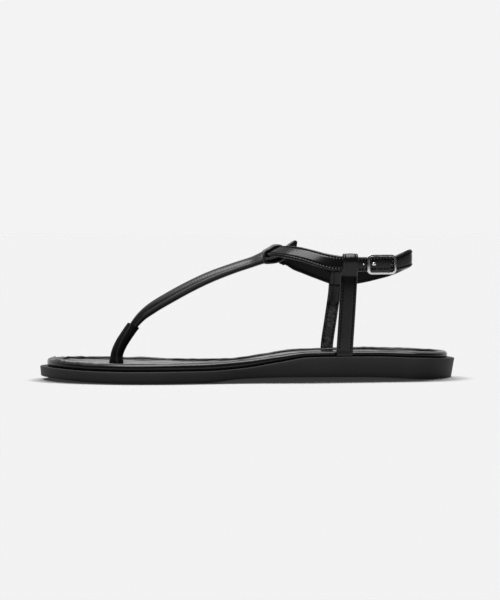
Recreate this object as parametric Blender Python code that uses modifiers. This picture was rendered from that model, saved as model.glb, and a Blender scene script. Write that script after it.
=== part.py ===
"""Left thong sandal: moulded sole, padded insole, strap upper, toe post sleeve and buckle.

The sandal stands on z = 0 with its toe towards -X and its outer side towards -Y. Sizes and
tables are in millimetres, and each point becomes metres where its mesh is made.
"""

import math
from collections import namedtuple

import bmesh
import bpy
from mathutils import Vector

MM = 0.001
CLEARANCE = 0.3
CUTTER_SIDES = 24

# The sole: length, the rounding of its ends and the edges of its side
SOLE_LENGTH = 250.0
HEEL_ROUND = 31.0
TOE_ROUND = 60.0
HEEL_DRAFT = 2.3
TOE_DRAFT = 0.4
FLOOR_EDGE = 0.7
RIM_EDGE = 0.4
SOLE_STATIONS = 54

# The insole pad: ledge of sole left round it, and how far its middle is dished
PAD_LEDGE = 4.2
PAD_DISH = 1.6

# Straps: thickness, the bevel of their edges and points per span of their path
ANKLE_THICK = 2.0
SIDE_THICK = 1.8
OUTER_WIDE = 9.4
INNER_WIDE = 7.8
LOOP_THICK = 1.5
LOOP_WIDE = 12.0
LOOP_CENTRE_Y = 3.5
STRAP_EDGE = 0.45
SPAN_STEPS = 3
T_STRAP_SIDES = 14

# The sleeve over the toe post
SLEEVE_RADIUS = 3.4
SLEEVE_WALL = 1.2
SLEEVE_SIDES = 20
SOCKET_FLOOR = 3.0
SOCKET_TALL = 20.0
SLEEVE_FOOT = 3.4

# The pockets that take the side straps' ends
POCKET_FLOOR = 11.5
POCKET_TOP = 18.0

# The buckle: outside length and height, wire, corner, and where its middle lies
BUCKLE_LONG = 18.0
BUCKLE_TALL = 11.7
BUCKLE_WIRE = 0.7
BUCKLE_CORNER = 2.2
BUCKLE_CENTRE = (75.6, -28.0, 67.8)
BUCKLE_TURN = math.radians(13.7)
PRONG_RADIUS = 0.75
STRAP_END_RADIUS = 2.0
STRAP_END_TALL = 6.8
BORE_TALL = 30.0
PRONG_SLOT_LONG = 6.4
PRONG_SLOT_DEEP = 8.0
HOLE_RADIUS = 1.1
HOLE_DEEP = 6.0
HOLE_X = (63.0, 70.7)
HOLE_Z = 68.0
HOLE_ROW = -4

# Steps of the wire's corners and sides, and the turn of the prong's eye about the bar
CORNER_STEPS = 4
WIRE_STEPS = 3
EYE_STEPS = 13
EYE_START = math.radians(170.0)
EYE_END = math.radians(-90.0)
PRONG_UP = 0.2

SoleRow = namedtuple("SoleRow", "from_heel centre half_width floor rim pad")
SOLE = (
    SoleRow(0, 0.0, 30.5, 0.0, 11.6, 2.8),
    SoleRow(20, 0.1, 30.5, 0.0, 12.7, 2.6),
    SoleRow(34, 0.2, 30.5, 0.7, 13.3, 2.5),
    SoleRow(48, -0.4, 30.4, 1.5, 13.9, 2.4),
    SoleRow(70, -1.4, 30.2, 2.0, 14.1, 2.4),
    SoleRow(92, -3.0, 30.4, 2.2, 14.0, 2.5),
    SoleRow(112, -3.6, 31.4, 2.4, 11.3, 2.9),
    SoleRow(134, -3.0, 35.0, 2.0, 8.2, 3.5),
    SoleRow(158, -1.2, 41.0, 0.0, 6.9, 4.0),
    SoleRow(184, 1.2, 45.0, 0.0, 6.8, 4.1),
    SoleRow(205, 3.2, 45.2, 0.0, 6.7, 4.1),
    SoleRow(225, 5.2, 44.8, 0.5, 6.9, 3.9),
    SoleRow(250, 7.4, 44.0, 2.2, 8.0, 3.6),
)

# The pad's side from its base over the rolled rim to the dished middle
PadRow = namedtuple("PadRow", "inset share dish")
PAD = (
    PadRow(0.9, 0.00, 0.0),
    PadRow(0.1, 0.28, 0.0),
    PadRow(0.0, 0.50, 0.0),
    PadRow(0.5, 0.80, 0.0),
    PadRow(1.8, 0.97, 0.0),
    PadRow(3.4, 1.00, 0.0),
    PadRow(6.0, 1.00, 0.35),
    PadRow(9.5, 1.00, 0.80),
    PadRow(14.0, 1.00, 1.00),
)

# The ankle strap from the buckle's bar round the heel and the instep to its free tip;
# lean tips its top in towards the leg, up and down are its reach each side of the path
StrapRow = namedtuple("StrapRow", "x y z lean up down")
ANKLE_STRAP = (
    StrapRow(83.8, -26.0, 67.9, 0, 3.4, 3.4),
    StrapRow(86.4, -24.7, 68.8, 0, 4.1, 4.1),
    StrapRow(91.6, -20.0, 70.9, 0, 4.4, 4.4),
    StrapRow(95.4, -11.0, 72.3, 0, 4.5, 4.5),
    StrapRow(96.3, -1.0, 72.3, 0, 4.5, 4.5),
    StrapRow(94.8, 9.0, 70.6, 0, 4.4, 4.4),
    StrapRow(89.2, 18.8, 66.4, 0, 4.4, 4.4),
    StrapRow(79.6, 24.8, 62.9, 0, 4.3, 4.3),
    StrapRow(68.0, 27.0, 60.6, 0, 4.3, 4.3),
    StrapRow(57.2, 26.4, 60.4, 2, 4.3, 4.3),
    StrapRow(46.8, 23.2, 63.4, 8, 4.3, 4.3),
    StrapRow(37.5, 18.8, 67.0, 16, 4.4, 4.4),
    StrapRow(29.9, 14.4, 70.6, 20, 3.6, 5.0),
    StrapRow(25.6, 11.6, 75.4, 22, 8.2, 6.6),
    StrapRow(20.6, 7.8, 75.4, 46, 4.2, 5.0),
    StrapRow(14.6, 2.6, 76.0, 60, 4.8, 4.8),
    StrapRow(14.6, -3.6, 75.8, 60, 4.8, 4.8),
    StrapRow(20.0, -9.0, 75.4, 52, 4.6, 4.6),
    StrapRow(27.0, -14.2, 74.2, 44, 4.5, 4.5),
    StrapRow(34.6, -19.0, 72.2, 38, 4.4, 4.4),
    StrapRow(42.0, -23.0, 69.8, 26, 4.3, 4.3),
    StrapRow(50.0, -26.4, 68.4, 10, 4.2, 4.2),
    StrapRow(58.0, -28.2, 68.1, 0, 4.1, 4.1),
    StrapRow(67.0, -28.0, 68.0, 0, 4.0, 4.0),
    StrapRow(74.0, -27.8, 68.0, 0, 4.0, 4.0),
    StrapRow(79.4, -27.4, 68.1, 0, 3.4, 3.4),
    StrapRow(81.0, -27.2, 68.2, 0, 1.8, 1.8),
)

# The T strap from its foot in the sole, up the toe post and over the instep
TubeRow = namedtuple("TubeRow", "x y z wide tall")
T_STRAP = (
    TubeRow(-79.1, 13.0, SLEEVE_FOOT, 3.8, 3.8),
    TubeRow(-79.1, 13.0, 9.0, 3.8, 3.8),
    TubeRow(-78.6, 13.0, 14.6, 3.8, 3.8),
    TubeRow(-76.4, 13.0, 20.0, 3.8, 3.8),
    TubeRow(-72.8, 12.7, 25.8, 3.8, 3.8),
    TubeRow(-69.1, 12.4, 31.0, 4.0, 3.9),
    TubeRow(-64.0, 12.0, 36.7, 6.4, 4.6),
    TubeRow(-57.2, 11.5, 42.0, 8.2, 5.6),
    TubeRow(-45.8, 10.5, 48.9, 9.4, 6.0),
    TubeRow(-33.5, 9.5, 55.6, 9.8, 6.0),
    TubeRow(-21.8, 8.5, 61.5, 10.2, 5.9),
    TubeRow(-8.2, 7.0, 66.6, 11.0, 5.2),
    TubeRow(2.0, 5.6, 70.0, 11.6, 4.6),
    TubeRow(9.4, 4.2, 72.8, 12.0, 3.6),
)
SLEEVE_ROWS = 6

# The loop at the T strap's end, round the ankle strap, seen from the side
LoopRow = namedtuple("LoopRow", "x z")
T_LOOP = (
    LoopRow(10.0, 74.0),
    LoopRow(13.4, 77.2),
    LoopRow(16.6, 79.2),
    LoopRow(19.4, 78.9),
    LoopRow(21.8, 76.6),
    LoopRow(21.6, 73.2),
    LoopRow(18.8, 71.0),
    LoopRow(13.4, 70.5),
    LoopRow(9.6, 71.2),
)

# A side strap from its end under the pad, up its side, over the ankle strap and down inside;
# off is the distance from the middle of the strap's foot, outwards
SideRow = namedtuple("SideRow", "x off z")
OUTER_STRAP = (
    SideRow(52.2, -11.6, 12.7),
    SideRow(52.2, -4.2, 12.7),
    SideRow(52.3, -0.5, 13.7),
    SideRow(52.5, 0.0, 18.5),
    SideRow(53.6, 0.2, 36.0),
    SideRow(54.8, 0.2, 56.0),
    SideRow(55.1, 0.0, 61.8),
    SideRow(55.4, 0.7, 66.5),
    SideRow(55.6, 0.6, 71.8),
    SideRow(55.7, -1.2, 74.0),
    SideRow(55.7, -3.0, 71.8),
    SideRow(55.5, -2.9, 66.5),
    SideRow(55.2, -2.2, 61.5),
    SideRow(54.7, -2.0, 51.0),
)
INNER_STRAP = (
    SideRow(51.4, -11.6, 12.7),
    SideRow(51.4, -4.2, 12.7),
    SideRow(51.5, -0.5, 13.7),
    SideRow(51.7, 0.0, 18.5),
    SideRow(54.4, 0.8, 36.0),
    SideRow(56.3, 1.3, 48.6),
    SideRow(56.8, 1.3, 54.2),
    SideRow(57.1, 2.1, 58.6),
    SideRow(57.3, 2.0, 64.0),
    SideRow(57.4, 0.5, 66.3),
    SideRow(57.4, -1.1, 64.0),
    SideRow(57.1, -1.1, 58.6),
    SideRow(56.7, -0.9, 53.6),
    SideRow(55.8, -0.9, 45.0),
)
OUTER_FOOT_Y = -29.1
INNER_FOOT_Y = 25.9

# The prong from its eye to its tip, along the strap from the buckle's middle and out from it
ProngRow = namedtuple("ProngRow", "along out")
PRONG = (
    ProngRow(5.0, -1.9),
    ProngRow(0.0, -2.6),
    ProngRow(-3.6, -3.1),
    ProngRow(-4.7, -2.4),
    ProngRow(-5.0, -1.2),
    ProngRow(-5.2, 0.2),
    ProngRow(-6.0, 0.9),
)

# Colour, roughness and metallic value of each material
COLOURS = {
    "moulded_rubber": ((0.020, 0.020, 0.021), 0.62, 0.0),
    "padded_leather": ((0.010, 0.010, 0.011), 0.30, 0.0),
    "strap_leather": ((0.012, 0.012, 0.013), 0.36, 0.0),
    "sleeve_rubber": ((0.008, 0.008, 0.008), 0.70, 0.0),
    "polished_steel": ((0.62, 0.62, 0.63), 0.14, 1.0),
}


def clear_scene():
    """Empty the scene and return the collections for parts and for cutters."""
    for piece in list(bpy.data.objects):
        bpy.data.objects.remove(piece, do_unlink=True)
    groups = []
    for name in ("thong_sandal", "cutters"):
        group = bpy.data.collections.new(name)
        bpy.context.scene.collection.children.link(group)
        groups.append(group)
    return groups


def material(name):
    """A Principled BSDF with the colour, roughness and metallic value of its row."""
    colour, roughness, metallic = COLOURS[name]
    made = bpy.data.materials.get(name)
    if made is None:
        made = bpy.data.materials.new(name)
        made.use_nodes = True
        shader = made.node_tree.nodes["Principled BSDF"]
        shader.inputs["Base Color"].default_value = (*colour, 1.0)
        shader.inputs["Roughness"].default_value = roughness
        shader.inputs["Metallic"].default_value = metallic
    return made


def smooth(rows, column, at):
    """Value of a column at a distance from the heel, on a curve that never overshoots its rows."""
    xs = [row.from_heel for row in rows]
    ys = [getattr(row, column) for row in rows]
    steps = [b - a for a, b in zip(xs, xs[1:])]
    rates = [(b - a) / step for a, b, step in zip(ys, ys[1:], steps)]
    slopes = [rates[0]]
    for k in range(1, len(rates)):
        before, after = rates[k - 1], rates[k]
        if before * after <= 0.0:
            slopes.append(0.0)
            continue
        weight_a = 2.0 * steps[k] + steps[k - 1]
        weight_b = steps[k] + 2.0 * steps[k - 1]
        slopes.append((weight_a + weight_b) / (weight_a / before + weight_b / after))
    slopes.append(rates[-1])
    k = max(i for i in range(len(steps)) if i == 0 or at >= xs[i])
    step = steps[k]
    t = (at - xs[k]) / step
    rise = t * t * (3.0 - 2.0 * t)
    value = ys[k] * (1.0 - rise) + ys[k + 1] * rise
    return value + step * (slopes[k] * t * (1.0 - t) ** 2 - slopes[k + 1] * t * t * (1.0 - t))


def sole(column, from_heel):
    """A column of the sole's table at a distance from the heel."""
    return smooth(SOLE, column, from_heel)


def end_round(from_heel):
    """Share of the half width that is left by the rounding of heel and toe."""
    into_heel = (HEEL_ROUND - from_heel) / HEEL_ROUND
    into_toe = (from_heel - (SOLE_LENGTH - TOE_ROUND)) / TOE_ROUND
    reach = max(into_heel, into_toe, 0.0)
    return math.sqrt(max(0.0, 1.0 - reach * reach))


def sole_ring(inset, height):
    """The sole's outline moved in, with inset and height as functions of the heel distance.

    The ring runs from the heel along the outer side to the toe and back along the inner side.
    """
    outer, inner = [], []
    for k in range(SOLE_STATIONS + 1):
        from_heel = SOLE_LENGTH / 2.0 * (1.0 - math.cos(math.pi * k / SOLE_STATIONS))
        by = inset(from_heel)
        x = (SOLE_LENGTH / 2.0 - from_heel) * (1.0 - 2.0 * by / SOLE_LENGTH)
        half = (sole("half_width", from_heel) - by) * end_round(from_heel)
        middle = sole("centre", from_heel)
        z = height(from_heel)
        outer.append(Vector((x, middle - half, z)))
        inner.append(Vector((x, middle + half, z)))
    return outer + inner[-2:0:-1]


def draft(from_heel):
    """How far the sole's side leans in at the floor."""
    return HEEL_DRAFT + (TOE_DRAFT - HEEL_DRAFT) * from_heel / SOLE_LENGTH


def curve_through(points):
    """A smooth path through points, with SPAN_STEPS steps in each span."""
    path = []
    for k in range(len(points) - 1):
        a, b = points[k], points[k + 1]
        before = points[k - 1] if k else a * 2.0 - b
        after = points[k + 2] if k + 2 < len(points) else b * 2.0 - a
        for s in range(SPAN_STEPS):
            path.append(catmull(before, a, b, after, s / SPAN_STEPS))
    path.append(points[-1])
    return path


def catmull(before, a, b, after, t):
    """A point of the cubic from a to b whose end slopes follow the neighbours, shared by span."""
    d0, d1, d2 = ((q - p).length ** 0.5 for p, q in ((before, a), (a, b), (b, after)))
    slope_a = (a - before) * (d1 / d0) - (b - before) * (d1 / (d0 + d1)) + (b - a)
    slope_b = (b - a) - (after - a) * (d1 / (d1 + d2)) + (after - b) * (d1 / d2)
    rise = t * t * (3.0 - 2.0 * t)
    return a + (b - a) * rise + slope_a * (t * (1.0 - t) ** 2) - slope_b * (t * t * (1.0 - t))


def tangents(path):
    """Unit directions along a path."""
    last = len(path) - 1
    return [(path[min(k + 1, last)] - path[max(k - 1, 0)]).normalized() for k in range(last + 1)]


def sweep(path, across, section):
    """Rings along a path: across(k, along) is the width direction, section(k) its (across, out)."""
    rings = []
    for k, (point, along) in enumerate(zip(path, tangents(path))):
        side = across(k, along)
        side = (side - along * side.dot(along)).normalized()
        out = along.cross(side)
        rings.append([point + side * a + out * b for a, b in section(k)])
    return rings


def strap_section(up, down, thick):
    """A strap's flat section with bevelled edges."""
    half, edge = thick / 2.0, STRAP_EDGE
    return (
        (up - edge, half), (up, half - edge), (up, edge - half), (up - edge, -half),
        (edge - down, -half), (-down, edge - half), (-down, half - edge), (edge - down, half),
    )


def round_section(wide, tall, sides):
    """An oval section."""
    turns = [2.0 * math.pi * k / sides for k in range(sides)]
    return [(wide / 2.0 * math.cos(turn), tall / 2.0 * math.sin(turn)) for turn in turns]


def spread(rows, column):
    """A column's values at every step of the curve through its rows."""
    values = [getattr(row, column) for row in rows]
    steps = []
    for a, b in zip(values, values[1:]):
        steps += [a + (b - a) * s / SPAN_STEPS for s in range(SPAN_STEPS)]
    return steps + values[-1:]


def loft(rings, ends="flat", closed=False):
    """A skin over rings of equal counts; ends are flat faces, ladders across, or open."""
    skin = bmesh.new()
    loops = [[skin.verts.new(point * MM) for point in ring] for ring in rings]
    pairs = list(zip(loops, loops[1:]))
    if closed:
        pairs.append((loops[-1], loops[0]))
    for low, high in pairs:
        for k in range(len(low)):
            j = (k + 1) % len(low)
            skin.faces.new((low[k], low[j], high[j], high[k]))
    if not closed and ends != "open":
        for loop in (loops[0], loops[-1]):
            close_end(skin, loop, ends)
    bmesh.ops.recalc_face_normals(skin, faces=skin.faces)
    return skin


def close_end(skin, loop, ends):
    """Fill one end ring with a flat face, or with rungs between its two sides."""
    if ends == "flat":
        skin.faces.new(loop)
        return
    count = len(loop)
    half = count // 2
    skin.faces.new((loop[0], loop[1], loop[-1]))
    for k in range(1, half - 1):
        skin.faces.new((loop[k], loop[k + 1], loop[count - k - 1], loop[count - k]))
    skin.faces.new((loop[half - 1], loop[half], loop[half + 1]))


def add_mesh(name, skin, group, finish=None):
    """Make an object of a finished skin."""
    mesh = bpy.data.meshes.new(name)
    skin.to_mesh(mesh)
    skin.free()
    piece = bpy.data.objects.new(name, mesh)
    group.objects.link(piece)
    if finish:
        mesh.materials.append(material(finish))
    else:
        hide_tool(piece)
    return piece


def hide_tool(piece):
    """Show a cutter as wire and keep it out of renders."""
    piece.display_type = "WIRE"
    piece.hide_render = True


def add_tool(group, name, kind, size, place, turn=(0.0, 0.0, 0.0)):
    """A box (x, y, z) or a cylinder (radius, height) that others are cut or joined with."""
    skin = bmesh.new()
    if kind == "box":
        bmesh.ops.create_cube(skin, size=1.0)
        bmesh.ops.scale(skin, vec=Vector(size) * MM, verts=skin.verts)
    else:
        radius, height = size
        bmesh.ops.create_cone(
            skin, cap_ends=True, segments=CUTTER_SIDES,
            radius1=radius * MM, radius2=radius * MM, depth=height * MM,
        )
    tool = add_mesh(name, skin, group)
    tool.location = Vector(place) * MM
    tool.rotation_euler = turn
    return tool


def boolean(piece, tool, operation):
    """Cut or join a piece with a tool."""
    step = piece.modifiers.new(tool.name, "BOOLEAN")
    step.operation = operation
    step.object = tool
    step.solver = "EXACT"
    step.use_self = operation == "UNION"


def add_outsole(parts, cutters):
    """Sole with drafted side, arch, toe spring, and sockets for the straps."""
    rings = [
        sole_ring(lambda u: draft(u) + FLOOR_EDGE, lambda u: sole("floor", u)),
        sole_ring(draft, lambda u: sole("floor", u) + FLOOR_EDGE),
        sole_ring(lambda u: 0.0, lambda u: sole("rim", u) - RIM_EDGE),
        sole_ring(lambda u: RIM_EDGE, lambda u: sole("rim", u)),
    ]
    piece = add_mesh("outsole", loft(rings, "ladder"), parts, "moulded_rubber")
    tall = POCKET_TOP - POCKET_FLOOR
    for name, rows, foot, wide in (
        ("outer_pocket", OUTER_STRAP, OUTER_FOOT_Y, OUTER_WIDE),
        ("inner_pocket", INNER_STRAP, INNER_FOOT_Y, INNER_WIDE),
    ):
        side = math.copysign(1.0, foot)
        outside = foot + side * (SIDE_THICK / 2.0 + CLEARANCE)
        inside = foot + side * (rows[0].off - CLEARANCE)
        size = (wide + 2.0 * CLEARANCE, abs(outside - inside), tall)
        place = (rows[0].x, (outside + inside) / 2.0, POCKET_FLOOR + tall / 2.0)
        boolean(piece, add_tool(cutters, name, "box", size, place), "DIFFERENCE")
    boolean(piece, post_tool(cutters, "post_socket"), "DIFFERENCE")
    return piece


def post_tool(cutters, name):
    """The hole that the toe post and its sleeve go down."""
    foot = T_STRAP[0]
    place = (foot.x, foot.y, SOCKET_FLOOR + SOCKET_TALL / 2.0)
    return add_tool(cutters, name, "cylinder", (SLEEVE_RADIUS + CLEARANCE, SOCKET_TALL), place)


def add_insole_pad(parts, cutters):
    """Pad with a rolled rim and a dished middle, on the sole inside its ledge."""
    rings = []
    for row in PAD:
        rings.append(sole_ring(
            lambda u, row=row: PAD_LEDGE + row.inset, lambda u, row=row: pad_height(row, u),
        ))
    piece = add_mesh("insole_pad", loft(rings, "ladder"), parts, "padded_leather")
    boolean(piece, post_tool(cutters, "post_hole"), "DIFFERENCE")
    return piece


def pad_height(row, from_heel):
    """Height of one row of the pad's section at a distance from the heel."""
    base = sole("rim", from_heel) + CLEARANCE
    return base + row.share * sole("pad", from_heel) - row.dish * PAD_DISH


def ankle_strap_skin():
    """The ankle strap, flat in section, leaning back where it crosses the instep."""
    path = curve_through([Vector((row.x, row.y, row.z)) for row in ANKLE_STRAP])
    lean, up, down = (spread(ANKLE_STRAP, column) for column in ("lean", "up", "down"))

    def across(k, along):
        turn = math.radians(lean[k])
        upwards = Vector((0.0, 0.0, 1.0))
        return upwards * math.cos(turn) + upwards.cross(along).normalized() * math.sin(turn)

    return loft(sweep(path, across, lambda k: strap_section(up[k], down[k], ANKLE_THICK)))


def t_strap_path():
    """The middle line of the T strap."""
    return curve_through([Vector((row.x, row.y, row.z)) for row in T_STRAP])


def t_strap_skin():
    """The folded T strap, narrow in the sleeve and full over the instep."""
    wide, tall = spread(T_STRAP, "wide"), spread(T_STRAP, "tall")
    sideways = Vector((0.0, 1.0, 0.0))
    return loft(sweep(
        t_strap_path(), lambda k, along: sideways,
        lambda k: round_section(wide[k], tall[k], T_STRAP_SIDES),
    ))


def t_loop_skin():
    """The closed loop at the T strap's end."""
    points = [Vector((row.x, LOOP_CENTRE_Y, row.z)) for row in T_LOOP]
    around = points[-1:] + points + points[:2]
    path = curve_through(around)[SPAN_STEPS:-SPAN_STEPS - 1]
    sideways = Vector((0.0, 1.0, 0.0))
    half = LOOP_WIDE / 2.0
    rings = sweep(path, lambda k, along: sideways, lambda k: strap_section(half, half, LOOP_THICK))
    return loft(rings, closed=True)


def side_strap_skin(rows, foot, wide):
    """One side strap with its tucked foot and its loop round the ankle strap."""
    side = math.copysign(1.0, foot)
    path = curve_through([Vector((row.x, foot + side * row.off, row.z)) for row in rows])
    lengthways = Vector((1.0, 0.0, 0.0))
    half = wide / 2.0
    return loft(sweep(
        path, lambda k, along: lengthways,
        lambda k: strap_section(half, half, SIDE_THICK),
    ))


def add_upper(parts, cutters):
    """The straps joined where they cross, with the buckle's bore and the punched holes."""
    piece = add_mesh("upper", ankle_strap_skin(), parts, "strap_leather")
    joined = (
        ("t_strap", t_strap_skin()),
        ("t_loop", t_loop_skin()),
        ("outer_side_strap", side_strap_skin(OUTER_STRAP, OUTER_FOOT_Y, OUTER_WIDE)),
        ("inner_side_strap", side_strap_skin(INNER_STRAP, INNER_FOOT_Y, INNER_WIDE)),
    )
    for name, skin in joined:
        boolean(piece, add_mesh(name, skin, cutters), "UNION")
    bar = buckle_point(BUCKLE_LONG / 2.0 - BUCKLE_WIRE, 0.0, 0.0)
    end = add_tool(cutters, "strap_end", "cylinder", (STRAP_END_RADIUS, STRAP_END_TALL), bar)
    boolean(piece, end, "UNION")
    bore = add_tool(cutters, "bar_bore", "cylinder", (BUCKLE_WIRE + CLEARANCE, BORE_TALL), bar)
    boolean(piece, bore, "DIFFERENCE")
    slot_size = (PRONG_SLOT_LONG, PRONG_SLOT_DEEP, 2.0 * (PRONG_RADIUS + CLEARANCE))
    slot = add_tool(cutters, "prong_slot", "box", slot_size, bar, (0.0, 0.0, BUCKLE_TURN))
    boolean(piece, slot, "DIFFERENCE")
    for k, x in enumerate(HOLE_X):
        place = (x, ANKLE_STRAP[HOLE_ROW].y, HOLE_Z)
        size = (HOLE_RADIUS, HOLE_DEEP)
        punch = add_tool(cutters, f"punch_{k}", "cylinder", size, place, (math.pi / 2.0, 0.0, 0.0))
        boolean(piece, punch, "DIFFERENCE")
    return piece


def add_sleeve(parts):
    """The tube over the toe post, open at both ends."""
    path = t_strap_path()[1:(SLEEVE_ROWS - 1) * SPAN_STEPS + 1]
    sideways = Vector((0.0, 1.0, 0.0))
    across = 2.0 * SLEEVE_RADIUS
    rings = sweep(
        path, lambda k, along: sideways, lambda k: round_section(across, across, SLEEVE_SIDES),
    )
    piece = add_mesh("toe_post_sleeve", loft(rings, "open"), parts, "sleeve_rubber")
    wall = piece.modifiers.new("wall", "SOLIDIFY")
    wall.thickness = SLEEVE_WALL * MM
    wall.offset = -1.0
    return piece


def buckle_point(along, up, out):
    """A point in the buckle's own axes: along the strap, up, and out from the ankle."""
    ahead = Vector((math.cos(BUCKLE_TURN), math.sin(BUCKLE_TURN), 0.0))
    outwards = Vector((math.sin(BUCKLE_TURN), -math.cos(BUCKLE_TURN), 0.0))
    return Vector(BUCKLE_CENTRE) + ahead * along + Vector((0.0, 0.0, up)) + outwards * out


def add_wire(name, points, radius, closed, group):
    """A round wire through points."""
    curve = bpy.data.curves.new(name, "CURVE")
    curve.dimensions = "3D"
    curve.bevel_depth = radius * MM
    curve.bevel_resolution = WIRE_STEPS
    curve.use_fill_caps = True
    line = curve.splines.new("POLY")
    line.points.add(len(points) - 1)
    line.use_cyclic_u = closed
    for spot, point in zip(line.points, points):
        spot.co = (*(point * MM), 1.0)
    curve.materials.append(material("polished_steel"))
    piece = bpy.data.objects.new(name, curve)
    group.objects.link(piece)
    return piece


def add_buckle_frame(parts):
    """A rounded rectangle of wire."""
    long = BUCKLE_LONG / 2.0 - BUCKLE_WIRE - BUCKLE_CORNER
    tall = BUCKLE_TALL / 2.0 - BUCKLE_WIRE - BUCKLE_CORNER
    points = []
    for quarter, (right, top) in enumerate(((1, 1), (-1, 1), (-1, -1), (1, -1))):
        for step in range(CORNER_STEPS + 1):
            turn = math.pi / 2.0 * (quarter + step / CORNER_STEPS)
            along = right * long + BUCKLE_CORNER * math.cos(turn)
            up = top * tall + BUCKLE_CORNER * math.sin(turn)
            points.append(buckle_point(along, up, 0.0))
    return add_wire("buckle_frame", points, BUCKLE_WIRE, True, parts)


def add_buckle_prong(parts):
    """The prong: an eye round the bar, a shank inside the strap and a tip through the hole."""
    bar = BUCKLE_LONG / 2.0 - BUCKLE_WIRE
    eye = BUCKLE_WIRE + CLEARANCE + PRONG_RADIUS
    points = []
    for step in range(EYE_STEPS + 1):
        turn = EYE_START + (EYE_END - EYE_START) * step / EYE_STEPS
        points.append(buckle_point(bar + eye * math.cos(turn), 0.0, eye * math.sin(turn)))
    points += [buckle_point(row.along, PRONG_UP, row.out) for row in PRONG]
    return add_wire("buckle_prong", points, PRONG_RADIUS, False, parts)


def main():
    """Make every piece and stand the sandal over the middle of its box."""
    parts, cutters = clear_scene()
    pieces = [
        add_outsole(parts, cutters),
        add_insole_pad(parts, cutters),
        add_upper(parts, cutters),
        add_sleeve(parts),
        add_buckle_frame(parts),
        add_buckle_prong(parts),
    ]
    stand = bpy.data.objects.new("sandal", None)
    parts.objects.link(stand)
    sides = [point.y for point in sole_ring(lambda u: 0.0, lambda u: 0.0)]
    stand.location.y = -(max(sides) + min(sides)) / 2.0 * MM
    for piece in pieces + list(cutters.objects):
        piece.parent = stand


main()
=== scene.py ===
"""Left thong sandal: the finish of its sole, insole pad, straps, toe post sleeve and buckle.

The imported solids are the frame. Sizes and tables are in millimetres in the sandal's own axes, with
the toe towards -X, the outer side towards -Y and the floor at z = 0.
"""

import math
from collections import namedtuple

import bmesh
import bpy
import numpy as np
from mathutils import Matrix, Vector, noise


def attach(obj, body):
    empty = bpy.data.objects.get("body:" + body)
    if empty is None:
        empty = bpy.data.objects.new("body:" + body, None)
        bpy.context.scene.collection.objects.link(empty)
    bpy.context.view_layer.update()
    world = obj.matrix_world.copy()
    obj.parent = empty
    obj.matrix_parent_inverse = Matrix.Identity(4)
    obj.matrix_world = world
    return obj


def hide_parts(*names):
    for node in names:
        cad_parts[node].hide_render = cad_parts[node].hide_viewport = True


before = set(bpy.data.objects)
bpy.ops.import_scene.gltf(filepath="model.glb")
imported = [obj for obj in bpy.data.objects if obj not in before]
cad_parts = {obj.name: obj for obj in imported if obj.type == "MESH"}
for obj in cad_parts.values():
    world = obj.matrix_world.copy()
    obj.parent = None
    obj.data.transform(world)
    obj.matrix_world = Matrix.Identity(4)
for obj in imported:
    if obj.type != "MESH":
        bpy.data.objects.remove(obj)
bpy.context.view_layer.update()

bl_info = {
    "name": "Thong Sandal",
    "version": (1, 0, 0),
    "blender": (4, 5, 0),
    "location": "View3D > Sidebar > Sandal",
    "description": "Dresses the packed thong sandal with its finished pieces and its studio",
    "category": "Object",
}

MM = 0.001
UP = np.array((0.0, 0.0, 1.0))
SIDEWAYS = np.array((0.0, 1.0, 0.0))
LENGTHWAYS = np.array((1.0, 0.0, 0.0))
WHITE = (1.0, 1.0, 1.0, 1.0)


def table(columns, *rows):
    """Rows whose columns have names."""
    kind = namedtuple("Row", columns)
    return [kind(*row) for row in rows]


# The sole's length, the rounding of its ends, the draft of its sides and its steps
SOLE_LENGTH = 250.0
HEEL_ROUND = 31.0
TOE_ROUND = 60.0
HEEL_DRAFT = 1.8
TOE_DRAFT = 0.4
SOLE_STATIONS = 240

# The ledge of sole left round the insole pad, and the gap under the pad
PAD_LEDGE = 4.2
PAD_GAP = 0.3

# The straps: thickness, width where it is even, crown of the face, and steps from row to row
ANKLE_THICK = 2.0
SIDE_THICK = 1.8
OUTER_WIDE = 10.0
LOOP_NARROW = 0.35
INNER_WIDE = 7.8
LOOP_THICK = 1.5
LOOP_WIDE = 12.0
LOOP_CENTRE_Y = 3.5
SPAN_STEPS = 14
ANKLE_CROWN = 0.12
SIDE_CROWN = 0.1
SHARP_TURN = math.radians(50.0)

# The step in a side strap's face where its turned end is sewn: its row, depth, fade and lip
OUTER_SEAM = 6.0
INNER_SEAM = 11.7
SEAM_STEP = 0.45
SEAM_FADE = 6.0
SEAM_LIP = 0.6

# The sleeve over the toe post: size, foot, flared skirt, lengthwise seam and slanted mouth
SLEEVE_RADIUS = 3.75
SLEEVE_WALL = 1.2
SLEEVE_SIDES = 96
SLEEVE_FOOT = 3.4
SLEEVE_SKIRT = 10.0
SLEEVE_SEAM = (math.radians(188.0), math.radians(152.0))
SLEEVE_SKEW = 0.75
SKEW_REACH = 5.0
SLEEVE_FLARE = 0.14
FLARE_REACH = 2.2
SEAM_WIDE = 0.1
SEAM_TALL = 0.08

# How deep the T strap's crease is pinched at the sleeve's mouth, how far up that fades, and where
# in the section's height it lies
PINCH = 0.22
PINCH_REACH = 16.0
PINCH_HEIGHT = 0.1
PINCH_TALL = 0.12

# Distance between the ribs across the gathered T strap
RIB_PITCH = 1.7

# The buckle: outside length and height, wire, corner, where its middle lies, how it turns, leans and bows
BUCKLE_LONG = 18.6
BUCKLE_TALL = 12.0
BUCKLE_WIRE = 0.7
BUCKLE_CORNER = 2.2
BUCKLE_CENTRE = np.array((75.3, -28.0, 68.6))
BUCKLE_TURN = math.radians(13.7)
BUCKLE_LEAN = math.radians(1.9)
BUCKLE_BOW = 0.11
CORNER_POINTS = 9
ROUND_SIDES = 16

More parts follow.
